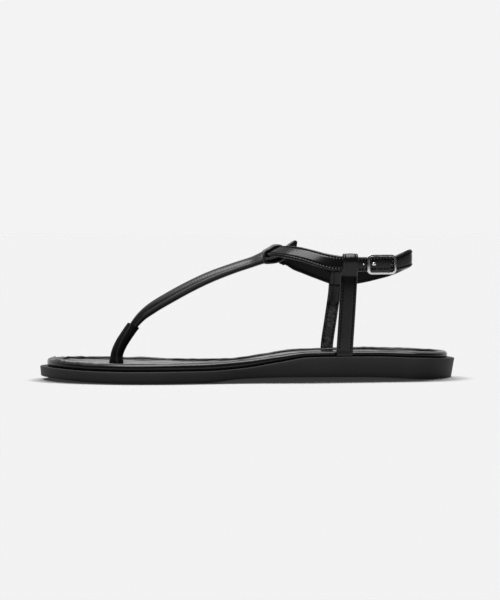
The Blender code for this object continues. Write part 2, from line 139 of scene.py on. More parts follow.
# The frame's bar: a quarter of its bevelled section, and how its width varies round the frame
BAR_BEVEL = np.array(((1.0, 0.0), (1.0, 0.66), (0.96, 0.84), (0.84, 0.96), (0.66, 1.0)))
BAR_SHARE = 0.88
FRONT_BROAD = 0.35
TOP_THIN = 0.25

# The prong's thickness and eye, and the pin that it turns on
PRONG_RADIUS = 0.75
PRONG_EYE = 0.35
PRONG_UP = 0.2
PRONG_STEPS = 4
EYE_ARC = (170.0, -90.0)
EYE_POINTS = 14
PIN_ALONG = 6.7
PIN_OUT = -1.9
PIN_RADIUS = 0.55
PIN_STEPS = 6

# The pin behind the frame: how far up and out each point is, bent at both ends to meet the frame
PIN = table(
    "up out",
    (-5.28, 0.0),
    (-5.0, -1.2),
    (-4.4, PIN_OUT),
    (0.0, PIN_OUT),
    (4.4, PIN_OUT),
    (5.0, -1.2),
    (5.28, 0.0),
)

# The strap's end folded round the pin: its reach in front of the pin and behind it, how far up it
# starts and ends each side of the prong's slot, and the rounding of those ends
FOLD_FRONT = 1.45
FOLD_BACK = 3.6
FOLD_HOLE = 0.6
FOLD_SLOT = 1.0
FOLD_TOP = 4.1
FOLD_ROUND = 0.2
FOLD_SIDES = 32

# The sole from heel to toe: middle line, half width, floor, rim and thickness of the pad
SOLE = table(
    "from_heel centre half_width floor rim pad",
    (0, 0.0, 30.5, 0.0, 11.6, 2.8),
    (20, 0.1, 30.5, 0.0, 12.7, 2.6),
    (34, 0.2, 30.5, 0.7, 13.3, 2.5),
    (48, -0.4, 30.4, 1.5, 13.9, 2.4),
    (70, -1.4, 30.2, 2.0, 14.1, 2.4),
    (92, -3.0, 30.4, 2.2, 14.0, 2.5),
    (112, -3.6, 31.4, 2.4, 11.3, 2.9),
    (134, -3.0, 35.0, 2.0, 8.2, 3.5),
    (158, -1.2, 41.0, 0.0, 6.9, 4.0),
    (184, 1.2, 45.0, 0.0, 6.8, 4.1),
    (205, 3.2, 45.2, 0.0, 6.7, 4.1),
    (225, 5.2, 44.8, 0.5, 6.9, 3.9),
    (250, 7.4, 44.0, 2.2, 8.0, 3.6),
)

# The sole's side from the floor over the rim into the channel round the pad: lean is the share of
# the draft, rise the share of the side's height, and lift what is added to it
SOLE_SIDE = table(
    "lean inset rise lift",
    (1.0, 6.0, 0.0, 0.00),
    (1.0, 0.8, 0.0, 0.00),
    (1.0, 0.4, 0.0, 0.02),
    (1.0, 0.12, 0.0, 0.14),
    (1.0, 0.0, 0.0, 0.45),
    (0.7, 0.0, 0.3, 0.20),
    (0.35, 0.0, 0.65, 0.00),
    (0.0, 0.0, 1.0, -0.55),
    (0.0, 0.02, 1.0, -0.28),
    (0.0, 0.09, 1.0, -0.11),
    (0.0, 0.24, 1.0, -0.02),
    (0.0, 0.6, 1.0, 0.00),
    (0.0, 2.6, 1.0, 0.00),
    (0.0, 3.6, 1.0, -0.18),
    (0.0, 4.6, 1.0, -0.40),
    (0.0, 8.0, 1.0, -0.40),
)

# The pad's side from its base over the rolled rim and the sewn groove to the dished middle
PAD = table(
    "inset share drop",
    (1.6, -0.10, 0.0),
    (0.6, -0.06, 0.0),
    (0.2, 0.08, 0.0),
    (0.03, 0.24, 0.0),
    (0.0, 0.40, 0.0),
    (0.08, 0.56, 0.0),
    (0.32, 0.72, 0.0),
    (0.8, 0.87, 0.0),
    (1.5, 0.96, 0.0),
    (2.3, 1.00, 0.0),
    (3.0, 1.00, 0.03),
    (3.6, 1.00, 0.12),
    (4.1, 1.00, 0.27),
    (4.4, 1.00, 0.48),
    (4.5, 1.00, 0.78),
    (4.57, 1.00, 1.10),
    (4.64, 1.00, 1.38),
    (4.8, 1.00, 1.50),
    (5.3, 1.00, 1.50),
    (6.2, 1.00, 1.34),
    (7.5, 1.00, 1.26),
)
PAD_DEEP = 1.65
PAD_DISH = 8.0
PAD_INNER = 24.0
PAD_RING_STEP = 1.1

# How far the pad's outer side swells up and its inner side sags along the waist
PAD_TILT = table(
    "from_heel outer inner",
    (0, 1.2, -1.2),
    (18, 0.7, -0.7),
    (42, 0.6, -0.5),
    (62, 0.5, -0.2),
    (95, 0.5, 0.6),
    (112, 0.8, 0.8),
    (128, 0.9, 1.4),
    (145, 0.6, 1.3),
    (165, 0.2, 1.2),
    (185, 0.1, 0.5),
    (200, 0.0, 0.1),
    (226, 0.1, -0.6),
    (250, 0.9, -0.9),
)
PAD_ROLL = 2.3
PAD_GROOVE = 5.0
PAD_MIDDLE_RINGS = 14
WIDEST_RING = 4

# Waves in the pad: their sizes both ways, their seed and their share. Crimps are in pucker lengths
# round the rim, gathers in millimetres round the toe, and swells lie over the middle
CRIMP = table("long wide seed share", (1.0, 9.0, 1.0, 1.0), (1.0 / 2.3, 5.0, 7.0, 0.6))
GATHER = table("long wide seed share", (5.5, 4.0, 11.0, 1.0), (2.6, 3.0, 13.0, 0.5))
SWELL = table("long wide seed share", (38.0, 15.0, 3.0, 1.0), (17.0, 8.0, 5.0, 0.45))

# Where the waves are strong: reach from the groove and from the roll, start and span of heel and toe
GROOVE_REACH = 3.2
ROLL_REACH = 2.6
MIDDLE_SPAN = 6.0
HEEL_SPAN = (-10.0, 60.0)
HEEL_WAVES = 1.5
TOE_SPAN = (90.0, 16.0)
TOE_CRIMP = 1.2
TOE_GATHER = 2.2
CREASE_FADE = 2.0

# How far the toe post presses the pad in, and its reach
POST_PRESS = 0.7
POST_REACH = 8.0

# Creases worn and pulled into the pad: middle, half length and width, depth, and turn from the length
CREASES = table(
    "x y long wide deep turn",
    (75.0, 6.0, 13.0, 1.6, 0.8, -2.0),
    (102.0, 7.0, 11.0, 1.7, 0.8, -9.0),
    (88.0, -9.0, 9.0, 1.8, 0.6, 4.0),
    (22.0, 5.0, 17.0, 1.8, 0.6, 6.0),
    (-8.0, -8.0, 20.0, 2.0, 0.6, -4.0),
    (-26.0, 16.0, 16.0, 1.8, 0.6, 3.0),
    (-48.0, 2.0, 18.0, 2.2, 0.5, -3.0),
    (-98.0, -12.0, 10.0, 1.8, 0.7, 24.0),
    (-104.0, 14.0, 9.0, 1.8, 0.6, -30.0),
)

# The ankle strap from the buckle's pin round the heel and the instep to its free tip;
# lean tips its top in towards the leg, up and down are its reach each side of the path
ANKLE_STRAP = table(
    "x y z lean up down",
    (82.2, -24.6, 68.7, 0, 4.3, 4.3),
    (84.4, -24.0, 69.1, 0, 4.5, 4.4),
    (87.4, -22.9, 70.1, 0, 4.7, 4.8),
    (91.4, -20.8, 71.4, 0, 5.0, 5.2),
    (94.2, -18.3, 72.2, 0, 5.2, 5.3),
    (95.3, -14.4, 72.1, 0, 5.2, 5.2),
    (95.6, -3.0, 70.9, 0, 5.1, 5.4),
    (94.3, 9.0, 69.0, 0, 4.8, 5.4),
    (89.2, 18.8, 65.8, 0, 4.5, 5.2),
    (79.6, 24.8, 62.3, 0, 4.4, 4.7),
    (68.0, 27.0, 60.0, 0, 4.4, 4.7),
    (57.2, 26.4, 59.8, 2, 4.4, 4.7),
    (46.8, 23.2, 62.9, 8, 4.4, 4.6),
    (37.5, 18.8, 66.6, 16, 4.4, 4.9),
    (31.6, 15.4, 69.4, 18, 4.0, 5.5),
    (29.0, 13.8, 71.8, 20, 3.6, 6.4),
    (27.0, 12.5, 73.6, 20, 4.2, 7.3),
    (26.0, 11.8, 74.2, 20, 9.3, 7.7),
    (23.2, 9.8, 75.0, 28, 6.6, 7.6),
    (20.6, 7.8, 75.4, 46, 4.6, 5.2),
    (14.6, 2.6, 76.0, 60, 4.8, 4.8),
    (14.6, -3.6, 76.2, 60, 4.8, 4.8),
    (20.0, -9.0, 76.1, 50, 4.8, 4.8),
    (27.0, -14.2, 74.9, 41, 4.9, 4.7),
    (34.6, -19.0, 72.8, 34, 4.9, 4.6),
    (42.0, -23.0, 70.5, 23, 4.9, 4.6),
    (50.0, -26.4, 69.0, 9, 4.8, 4.5),
    (58.0, -28.2, 68.7, 0, 4.5, 4.3),
    (67.0, -28.0, 68.6, 0, 4.4, 4.1),
    (74.0, -27.8, 68.8, 0, 4.9, 4.2),
    (79.4, -27.4, 68.8, 0, 4.7, 4.1),
    (80.8, -27.2, 68.8, 0, 3.9, 3.3),
    (81.3, -27.2, 68.8, 0, 1.7, 1.7),
)

# The spare hole in the ankle strap, in front of the buckle, and the punch that cuts it
HOLE = np.array((64.2, -28.1, 68.8))
HOLE_RADIUS = 0.5
HOLE_SIDES = 24
PUNCH_DEEP = 6.0

# The T strap from its foot in the sole, up the toe post and over the instep
T_STRAP = table(
    "x y z wide tall",
    (-79.1, 13.0, SLEEVE_FOOT, 3.8, 3.8),
    (-79.1, 13.0, 9.0, 3.8, 3.8),
    (-78.6, 13.0, 14.6, 3.8, 3.8),
    (-76.4, 13.0, 20.0, 3.8, 3.8),
    (-72.8, 12.7, 25.8, 3.8, 3.8),
    (-69.1, 12.4, 31.0, 4.8, 4.8),
    (-64.0, 12.0, 37.0, 6.6, 5.8),
    (-57.2, 11.5, 42.3, 8.4, 6.8),
    (-45.8, 10.5, 49.1, 9.4, 7.0),
    (-33.5, 9.5, 55.7, 9.8, 6.9),
    (-21.8, 8.5, 61.1, 10.2, 6.7),
    (-8.2, 7.0, 66.2, 11.0, 6.3),
    (2.0, 5.6, 69.6, 11.6, 6.2),
    (8.6, 4.2, 72.2, 12.0, 7.0),
    (13.0, 3.8, 73.9, 11.6, 8.4),
    (17.0, 3.6, 74.9, 11.4, 7.8),
    (20.6, 3.6, 75.0, 11.0, 5.0),
)
SLEEVE_ROWS = 6

# Half of the T strap's folded section, from the middle of its underside round the rolled edge and
# the crease to the crown, as shares of its half width and half height
T_FOLD = table(
    "across height",
    (0.00, -0.92),
    (0.25, -0.96),
    (0.50, -1.00),
    (0.70, -0.92),
    (0.85, -0.72),
    (0.94, -0.48),
    (0.985, -0.30),
    (1.00, -0.19),
    (0.995, -0.13),
    (0.97, -0.08),
    (0.93, -0.02),
    (0.885, 0.04),
    (0.85, 0.07),
    (0.835, 0.12),
    (0.80, 0.22),
    (0.74, 0.34),
    (0.66, 0.50),
    (0.52, 0.72),
    (0.36, 0.88),
    (0.18, 0.97),
    (0.00, 1.00),
)

# The loop at the T strap's end, round the ankle strap, seen from the side
T_LOOP = table(
    "x z",
    (9.2, 75.2),
    (13.2, 78.0),
    (16.4, 79.6),
    (19.4, 79.0),
    (21.8, 76.6),
    (21.6, 73.2),
    (18.6, 70.6),
    (13.0, 69.3),
    (8.8, 69.7),
)

# A side strap from its end under the pad, up its side, over the ankle strap and down inside;
# off is the distance from the middle of the strap's foot, outwards
OUTER_STRAP = table(
    "x off z",
    (52.5, -11.6, 12.7),
    (52.5, -4.2, 12.7),
    (52.6, -0.5, 13.7),
    (52.8, 0.0, 18.5),
    (53.9, 0.2, 36.0),
    (55.1, 0.2, 56.0),
    (55.4, 0.0, 62.2),
    (55.8, 0.7, 66.6),
    (56.1, 0.6, 72.0),
    (56.2, -1.2, 74.2),
    (56.2, -3.0, 72.0),
    (55.9, -2.9, 66.8),
    (55.5, -2.2, 61.8),
    (55.0, -2.0, 51.2),
)
INNER_STRAP = table(
    "x off z",
    (51.4, -11.6, 12.7),
    (51.4, -4.2, 12.7),
    (51.5, -0.5, 13.7),
    (51.7, 0.0, 18.5),
    (54.4, 0.8, 36.0),
    (56.3, 1.3, 48.6),
    (56.8, 1.3, 54.2),
    (57.1, 2.1, 58.6),
    (57.3, 2.0, 64.0),
    (57.4, 0.5, 66.3),
    (57.4, -1.1, 64.0),
    (57.1, -1.1, 58.6),
    (56.7, -0.9, 53.6),
    (55.8, -0.9, 45.0),
)
OUTER_FOOT_Y = -29.1
INNER_FOOT_Y = 25.9

# A flat strap's edge: how far in from it, and how far below the face
STRAP_EDGE = table(
    "inset drop",
    (0.00, 0.90),
    (0.07, 0.62),
    (0.22, 0.36),
    (0.48, 0.14),
    (0.80, 0.04),
    (1.10, 0.00),
    (1.30, 0.10),
    (1.55, 0.22),
    (1.80, 0.10),
    (2.00, 0.00),
    (2.80, 0.00),
)
EDGE_REACH = 4.2
EDGE_THICK = 1.8

# A stitch from end to end: place along it, thickness and sinking, as shares; and where rows run
STITCH = table(
    "place fat sink",
    (-0.5, 0.25, -0.5),
    (-0.44, 0.66, -0.2),
    (-0.3, 0.92, 0.0),
    (0.0, 1.0, 0.08),
    (0.3, 0.92, 0.0),
    (0.44, 0.66, -0.2),
    (0.5, 0.25, -0.5),
)
STITCH_SIDES = 8
STITCH_INSET = 1.55
STITCH_SUNK = 0.1
ANKLE_SEWN_TO = -4
SIDE_SEWN = (3, 6)

# The prong from its eye to its tip: along the strap, out from it, and its half width and height
PRONG = table(
    "along out wide tall",
    (4.6, -3.0, 0.75, 0.6),
    (0.0, -3.1, 0.75, 0.75),
    (-3.6, -3.1, 0.75, 0.75),
    (-4.7, -2.4, 0.75, 0.75),
    (-5.0, -1.2, 0.75, 0.75),
    (-5.1, 0.4, 0.85, 0.85),
    (-5.4, 1.2, 1.15, 1.0),
    (-6.4, 1.5, 1.1, 0.8),
    (-7.1, 1.4, 0.5, 0.4),
)

# The studio: floor, sky that is bright above and behind, even backdrop, and the camera
FLOOR_RADIUS = 12.0
SKY_WAY = (0.0, 0.75, 0.66)
SKY_REACH = 0.7
SKY_DIM = 0.03
SKY_BRIGHT = 0.8
BACKDROP = 0.896
CAMERA_SENSOR = 36.0
CAMERA_LENS = 139.9
CAMERA_END = 100.0
CAMERA_TURN = math.radians(-8.0)
CAMERA_TILT = math.radians(2.0)
CAMERA_AWAY = 1400.0
CAMERA_AIM = Vector((0.3, -1.65, 46.9))

# The lamps: strength, breadth, tip and turn in degrees, what each lights and what shades it. Those
# in a fan behind the sandal light the floor and leave a soft shadow on it
FLOOR_GLOW = 113.8
FLOOR_FAN = (-41.0, -25.0, -9.0, 7.0, 23.0)
LAMPS = table(
    "name energy broad tip turn lights shaded_by",
    ("overhead_lamp", 4.1, 50.0, 12.0, 0.0, "sandal_finish", None),
    ("front_fill", 1.9, 60.0, 86.0, -14.0, "sole_only", None),
    *[
        ("floor_lamp", FLOOR_GLOW / len(FLOOR_FAN), 12.0, -57.0, turn, "studio", "sole_only")
        for turn in FLOOR_FAN
    ],
)


def linear(hex_colour):
    """A linear colour from an sRGB hex value."""
    parts = [int(hex_colour[k:k + 2], 16) / 255.0 for k in (1, 3, 5)]
    return tuple(c / 12.92 if c <= 0.04045 else ((c + 0.055) / 1.055) ** 2.4 for c in parts)


def column(rows, name):
    """One column of a table."""
    return np.array([getattr(row, name) for row in rows], dtype=float)


def smooth(xs, ys, at):
    """Values on a curve through a table's rows that never overshoots them."""
    at = np.asarray(at, dtype=float)
    steps = np.diff(xs)
    rates = np.diff(ys) / steps
    slopes = np.concatenate([rates[:1], np.zeros(len(rates) - 1), rates[-1:]])
    for k in range(1, len(rates)):
        before, after = rates[k - 1], rates[k]
        if before * after > 0.0:
            weight_a = 2.0 * steps[k] + steps[k - 1]
            weight_b = steps[k] + 2.0 * steps[k - 1]
            slopes[k] = (weight_a + weight_b) / (weight_a / before + weight_b / after)
    k = np.clip(np.searchsorted(xs, at, side="right") - 1, 0, len(steps) - 1)
    t = (at - xs[k]) / steps[k]
    rise = t * t * (3.0 - 2.0 * t)
    bend = slopes[k] * t * (1.0 - t) ** 2 - slopes[k + 1] * t * t * (1.0 - t)
    return ys[k] * (1.0 - rise) + ys[k + 1] * rise + steps[k] * bend


def sole(name, from_heel):
    """A column of the sole's table at distances from the heel."""
    return smooth(column(SOLE, "from_heel"), column(SOLE, name), from_heel)


def end_round(from_heel):
    """Share of the half width that is left by the rounding of heel and toe."""
    into_heel = (HEEL_ROUND - from_heel) / HEEL_ROUND
    into_toe = (from_heel - (SOLE_LENGTH - TOE_ROUND)) / TOE_ROUND
    reach = np.maximum(np.maximum(into_heel, into_toe), 0.0)
    return np.sqrt(np.maximum(0.0, 1.0 - reach * reach))


def ring_places():
    """Heel distance and side of each point of a ring: outer side first, then back along the inner."""
    k = np.arange(SOLE_STATIONS + 1)
    from_heel = SOLE_LENGTH / 2.0 * (1.0 - np.cos(np.pi * k / SOLE_STATIONS))
    side = np.full(len(k), -1.0)
    return np.append(from_heel, from_heel[-2:0:-1]), np.append(side, -side[-2:0:-1])


def sole_ring(inset, height, narrow=1.0):
    """The sole's outline moved in by an inset and set at a height."""
    from_heel, side = ring_places()
    x = (SOLE_LENGTH / 2.0 - from_heel) * (1.0 - 2.0 * inset / SOLE_LENGTH)
    half = (sole("half_width", from_heel) - inset) * end_round(from_heel)
    y = sole("centre", from_heel) + side * half * narrow
    return np.stack([x, y, np.broadcast_to(height, x.shape)], axis=-1)


def stand_shift():
    """The move that puts the sandal over the middle of its box."""
    sides = sole_ring(0.0, 0.0)[:, 1]
    return np.array((0.0, -(sides.max() + sides.min()) / 2.0, 0.0))


def path_through(points, steps=SPAN_STEPS):
    """A smooth path through points, with the same number of steps in each span."""
    points = np.asarray(points, dtype=float)
    ends = np.vstack([2.0 * points[0] - points[1], points, 2.0 * points[-1] - points[-2]])
    t = np.arange(steps)[:, None] / steps
    rise = t * t * (3.0 - 2.0 * t)
    path = []
    for before, a, b, after in zip(ends, ends[1:], ends[2:], ends[3:]):
        d0, d1, d2 = (np.linalg.norm(q - p) ** 0.5 for p, q in ((before, a), (a, b), (b, after)))
        slope_a = (a - before) * (d1 / d0) - (b - before) * (d1 / (d0 + d1)) + (b - a)
        slope_b = (b - a) - (after - a) * (d1 / (d1 + d2)) + (after - b) * (d1 / d2)
        path.append(a + (b - a) * rise + slope_a * t * (1.0 - t) ** 2 - slope_b * t * t * (1.0 - t))
    return np.vstack(path + [points[-1:]])


def spread(rows, name):
    """A column's values at every step of the path through its rows."""
    places = np.arange(len(rows), dtype=float)
    return smooth(places, column(rows, name), np.arange((len(rows) - 1) * SPAN_STEPS + 1) / SPAN_STEPS)


def places_in(rows):
    """The points of a table's rows."""
    return [(row.x, row.y, row.z) for row in rows]


def unit(vectors):
    """Vectors made one long."""
    return vectors / np.maximum(np.linalg.norm(vectors, axis=-1, keepdims=True), 1e-9)


def axes(path, across, ring=False):
    """Directions along a path, across it and out from it."""
    if ring:
        along = unit(np.roll(path, -1, axis=0) - np.roll(path, 1, axis=0))
    else:
        along = unit(np.gradient(path, axis=0))
    across = np.broadcast_to(across, path.shape)
    side = unit(across - along * np.sum(across * along, axis=1, keepdims=True))
    return along, side, np.cross(along, side)


def sweep(path, side, out, section):
    """A grid of points: a section of (across, out) carried along a path."""
    section = np.broadcast_to(section, (len(path),) + np.shape(section)[-2:])
    return path[:, None] + side[:, None] * section[..., :1] + out[:, None] * section[..., 1:]


def lengths(path):
    """Distance along a path at each of its points."""
    return np.append(0.0, np.cumsum(np.linalg.norm(np.diff(path, axis=0), axis=1)))


def grid_faces(rows, columns, ring=False):
    """Faces over a grid whose columns close round, and whose rows close too where it is a ring."""
    i, j = np.meshgrid(np.arange(rows if ring else rows - 1), np.arange(columns), indexing="ij")
    below, above = i * columns, (i + 1) % rows * columns
    after = (j + 1) % columns
    return np.stack([below + j, below + after, above + after, above + j], axis=-1).reshape(-1, 4)


def capped_faces(rows, columns):
    """Faces over a grid whose columns close round, with both its ends closed."""
    faces = [tuple(face) for face in grid_faces(rows, columns)]
    return faces + [tuple(range(columns)), tuple(range((rows - 1) * columns, rows * columns))]


def circle(sides):
    """Points round a circle of radius one."""
    turn = 2.0 * math.pi * np.arange(sides) / sides
    return np.stack([np.cos(turn), np.sin(turn)], axis=-1)


def rungs(first, count):
    """Faces across a ring of the sole, between its outer and its inner side."""
    half = count // 2
    faces = [(0, 1, count - 1), (half - 1, half, half + 1)]
    faces += [(k, k + 1, count - k - 1, count - k) for k in range(1, half - 1)]
    return [tuple(first + corner for corner in face) for face in faces]


def ring_faces(rings):
    """Faces over rings of the sole, from each to the next and across the first and the last."""
    count = len(rings[0])
    faces = [tuple(face) for face in grid_faces(len(rings), count)]
    return faces + rungs(0, count) + rungs((len(rings) - 1) * count, count)


def link(piece):
    """Put a piece in the sandal's collection."""
    group = bpy.data.collections.get("sandal_finish")
    if group is None:
        group = bpy.data.collections.new("sandal_finish")
        bpy.context.scene.collection.children.link(group)
    group.objects.link(piece)
    return piece


def add_piece(name, points, faces, finishes, nodes, fields=None, which=None):
    """A smooth shaded piece from points in millimetres, which stands for nodes of the frame."""
    mesh = bpy.data.meshes.new(name)
    points = (np.asarray(points).reshape(-1, 3) + stand_shift()) * MM
    mesh.from_pydata(points.tolist(), [], [tuple(int(k) for k in face) for face in faces])
    for finish in finishes:
        mesh.materials.append(finish)
    if which is not None:
        mesh.polygons.foreach_set("material_index", np.asarray(which, dtype=np.int32))
    for field, values in (fields or {}).items():
        layer = mesh.attributes.new(field, "FLOAT", "POINT")
        layer.data.foreach_set("value", np.asarray(values, dtype=np.float32).ravel())
    face_outwards(mesh)
    piece = link(bpy.data.objects.new(name, mesh))
    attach(piece, "root")
    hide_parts(*nodes)
    return piece


def face_outwards(mesh):
    """Turn a mesh's faces outwards, shade it smooth and keep its sharp turns."""
    skin = bmesh.new()
    skin.from_mesh(mesh)
    bmesh.ops.recalc_face_normals(skin, faces=skin.faces)
    skin.to_mesh(mesh)
    skin.free()
    mesh.shade_smooth()
    mesh.set_sharp_from_angle(angle=SHARP_TURN)
    mesh.update()


def flat_section(up, down, thick, crown=0.0):
    """A strap's section with rounded edges and sewn grooves: outer face first, then the lining."""
    inset, drop = column(STRAP_EDGE, "inset"), column(STRAP_EDGE, "drop")
    up, down = np.asarray(up, dtype=float)[:, None], np.asarray(down, dtype=float)[:, None]
    face = thick / 2.0 - drop * thick / EDGE_THICK
    face = np.broadcast_to(face, (len(up), len(inset)))
    top = up - inset * np.minimum(1.0, up / EDGE_REACH)
    low = inset * np.minimum(1.0, down / EDGE_REACH) - down
    middle = (up - down) / 2.0
    tall = np.full_like(middle, thick / 2.0 + crown)
    across = np.hstack([top, middle, low[:, ::-1], low[:, 1:], middle, top[:, :0:-1]])
    out = np.hstack([face, tall, face[:, ::-1], -face[:, 1:], -tall + crown, -face[:, :0:-1]])
    return np.stack([across, out], axis=-1)


def flat_strap(name, path, side, out, section, finishes, ring=False):
    """A flat strap with leather outside and lining inside."""
    rows, columns = section.shape[:2]
    faces = grid_faces(rows, columns, ring=True) if ring else capped_faces(rows, columns)
    place = np.tile(np.arange(columns), rows if ring else rows - 1)
    # the lining starts and stops just round the edges, and the end caps are leather
    lining = (place > 2 * len(STRAP_EDGE) + 3) & (place < columns - 4)
    which = np.append(np.where(lining, 1, 0), [] if ring else [0, 0])
    fields = {"along": np.repeat(lengths(path) * MM, columns)}
    grid = sweep(path, side, out, section)
    return add_piece(name, grid, faces, finishes, ["upper"], fields, which)


def punch(piece, centre, radius):
    """Cut a round hole through a strap from side to side."""
    skin = bmesh.new()
    lay = Matrix.Rotation(math.pi / 2.0, 4, "X")
    lay.translation = (np.asarray(centre) + stand_shift()) * MM
    bmesh.ops.create_cone(
        skin, cap_ends=True, segments=HOLE_SIDES, radius1=radius * MM, radius2=radius * MM,
        depth=PUNCH_DEEP * MM, matrix=lay,
    )
    tool = bpy.data.objects.new("punch", bpy.data.meshes.new("punch"))
    skin.to_mesh(tool.data)
    skin.free()
    bpy.context.scene.collection.objects.link(tool)
    cut = piece.modifiers.new("punch", "BOOLEAN")
    cut.object = tool
    cut.operation = "DIFFERENCE"
    cut.solver = "EXACT"
    ready = piece.evaluated_get(bpy.context.evaluated_depsgraph_get())
    made = bpy.data.meshes.new_from_object(ready)
    piece.modifiers.clear()
    piece.data = made
    bpy.data.objects.remove(tool)


def stitch_rows(path, side, out, up, down, thick, first, last):
    """Lines of stitches inside both edges of a strap, on its face and on its lining."""
    span = slice(first, last)
    rows = []
    for edge, sign in ((up, 1.0), (-down, -1.0)):
        inset = STITCH_INSET * np.minimum(1.0, np.abs(edge) / EDGE_REACH)
        across = (edge - sign * inset)[span, None]
        for face in (1.0, -1.0):
            height = face * (thick / 2.0 - STITCH_SUNK)
            rows.append((path[span] + side[span] * across + out[span] * height, out[span] * face))
    return rows


def add_stitches(name, rows, sizes, finish):
    """One mesh of small sunk stitches along lines of points and their outward directions."""
    pitch, thread = sizes.stitch_pitch / MM, sizes.thread / MM
    place, fat, sink = (column(STITCH, part) for part in ("place", "fat", "sink"))
    ring = circle(STITCH_SIDES)
    points, faces = [], []
    for line, outwards in rows:
        reach = lengths(line)
        count = max(1, int(reach[-1] / pitch))
        spots = (np.arange(count) + 0.5) * reach[-1] / count
        at, ahead, up = (
            np.stack([np.interp(there, reach, values[:, k]) for k in range(3)], axis=-1)
            for there, values in ((spots, line), (spots + 0.2, line), (spots, outwards))
        )
        up, along = unit(up), unit(ahead - at)
        across = np.cross(along, up)
        long = sizes.stitch_share * reach[-1] / count
        middle = at[:, None] + along[:, None] * (place * long)[:, None]
        middle = middle + up[:, None] * (sink * thread)[:, None]
        round_ = across[:, None, None] * ring[:, :1] + up[:, None, None] * ring[:, 1:]
        grid = middle[:, :, None] + round_ * (fat * thread / 2.0)[:, None, None]
        for stitch in grid:
            first = len(points) * len(STITCH) * STITCH_SIDES
            faces.append(grid_faces(len(STITCH), STITCH_SIDES) + first)
            points.append(stitch.reshape(-1, 3))
    return add_piece(name, np.vstack(points), np.vstack(faces), [finish], ["upper"])


def in_buckle(along, up, out):
    """A point in the buckle's own axes: along the strap, up, and out from the ankle."""
    ahead = np.array((math.cos(BUCKLE_TURN), math.sin(BUCKLE_TURN), 0.0))
    level = np.array((math.sin(BUCKLE_TURN), -math.cos(BUCKLE_TURN), 0.0))
    upwards = UP * math.cos(BUCKLE_LEAN) - level * math.sin(BUCKLE_LEAN)
    outwards = level * math.cos(BUCKLE_LEAN) + UP * math.sin(BUCKLE_LEAN)
    return BUCKLE_CENTRE + ahead * along + upwards * up + outwards * out


def add_node(tree, kind, inputs=None, **settings):
    """Add a node with its settings, and link its inputs or set them."""
    made = tree.nodes.new(kind)
    for name, value in settings.items():
        setattr(made, name, value)
    plug(tree, made, inputs or {})
    return made


def plug(tree, node, inputs):
    """Link a node's inputs to other nodes' outputs, or set their values."""
    for name, value in inputs.items():
        if isinstance(value, bpy.types.NodeSocket):
            tree.links.new(value, node.inputs[name])
        else:
            node.inputs[name].default_value = value


def per_mm(size):
    """Texture scale for a feature of a size in millimetres."""
    return 1.0 / (size * MM)


def principled(name, **sockets):
    """A new material with even values on its shader's own sockets."""
    finish = bpy.data.materials.new(name)
    finish.use_nodes = True
    shader = finish.node_tree.nodes["Principled BSDF"]
    plug(finish.node_tree, shader, sockets)
    return finish, finish.node_tree, shader


def in_place(tree):
    """A piece's own coordinates."""
    return add_node(tree, "ShaderNodeTexCoord").outputs["Object"]


def speckle(tree, size, detail, rough=0.5):
    """Noise with features of a size in millimetres."""
    inputs = {"Vector": in_place(tree), "Scale": per_mm(size), "Detail": detail, "Roughness": rough}
    return add_node(tree, "ShaderNodeTexNoise", inputs).outputs["Fac"]


def field(tree, name):
    """A measure kept on a piece's points."""
    return add_node(tree, "ShaderNodeAttribute", attribute_name=name).outputs["Fac"]


def reckon(tree, operation, *values):
    """The result of a sum on values and other nodes' outputs."""
    return add_node(tree, "ShaderNodeMath", dict(enumerate(values)), operation=operation).outputs[0]


def ranged(tree, value, **limits):
    """A value moved from one range to another."""
    limits = {name.replace("_", " "): limit for name, limit in limits.items()}
    return add_node(tree, "ShaderNodeMapRange", {"Value": value, **limits}).outputs[0]


def shade(colour, share):
    """A colour made darker or lighter, as a socket takes it."""
    return (*[c * share for c in colour], 1.0)


def mixed(tree, factor, first, second):
    """One colour turning into another."""
    inputs = {"Factor": factor, 6: first, 7: second}
    return add_node(tree, "ShaderNodeMix", inputs, data_type="RGBA").outputs[2]


def shades(tree, factor, colour, dark, light):
    """A colour that wanders between two shades of itself."""
    return mixed(tree, factor, shade(colour, dark), shade(colour, light))


def bumps(tree, height, strength, depth):
    """A surface roughened to a depth in millimetres."""
    inputs = {"Height": height, "Strength": strength, "Distance": depth * MM}
    return add_node(tree, "ShaderNodeBump", inputs).outputs[0]


def moulded_rubber(colours):
    """Injection moulded rubber: a dull charcoal with a fine stipple that the mould leaves."""
    finish, tree, shader = principled(
        "moulded_rubber", **{"Roughness": 0.62, "IOR": 1.52, "Specular IOR Level": 0.32},
    )
    # the grit is 0.2 mm on the real sole, and is drawn coarser so that it shows
    grit = speckle(tree, 0.9, 3.0)
    cloud = speckle(tree, 30.0, 2.0)
    speck = ranged(tree, reckon(tree, "ADD", grit, cloud), From_Min=0.7, From_Max=1.3)
    plug(tree, shader, {
        "Base Color": shades(tree, speck, colours.rubber, 0.75, 1.35),
        "Normal": bumps(tree, grit, 0.25, 0.12),
    })
    return finish


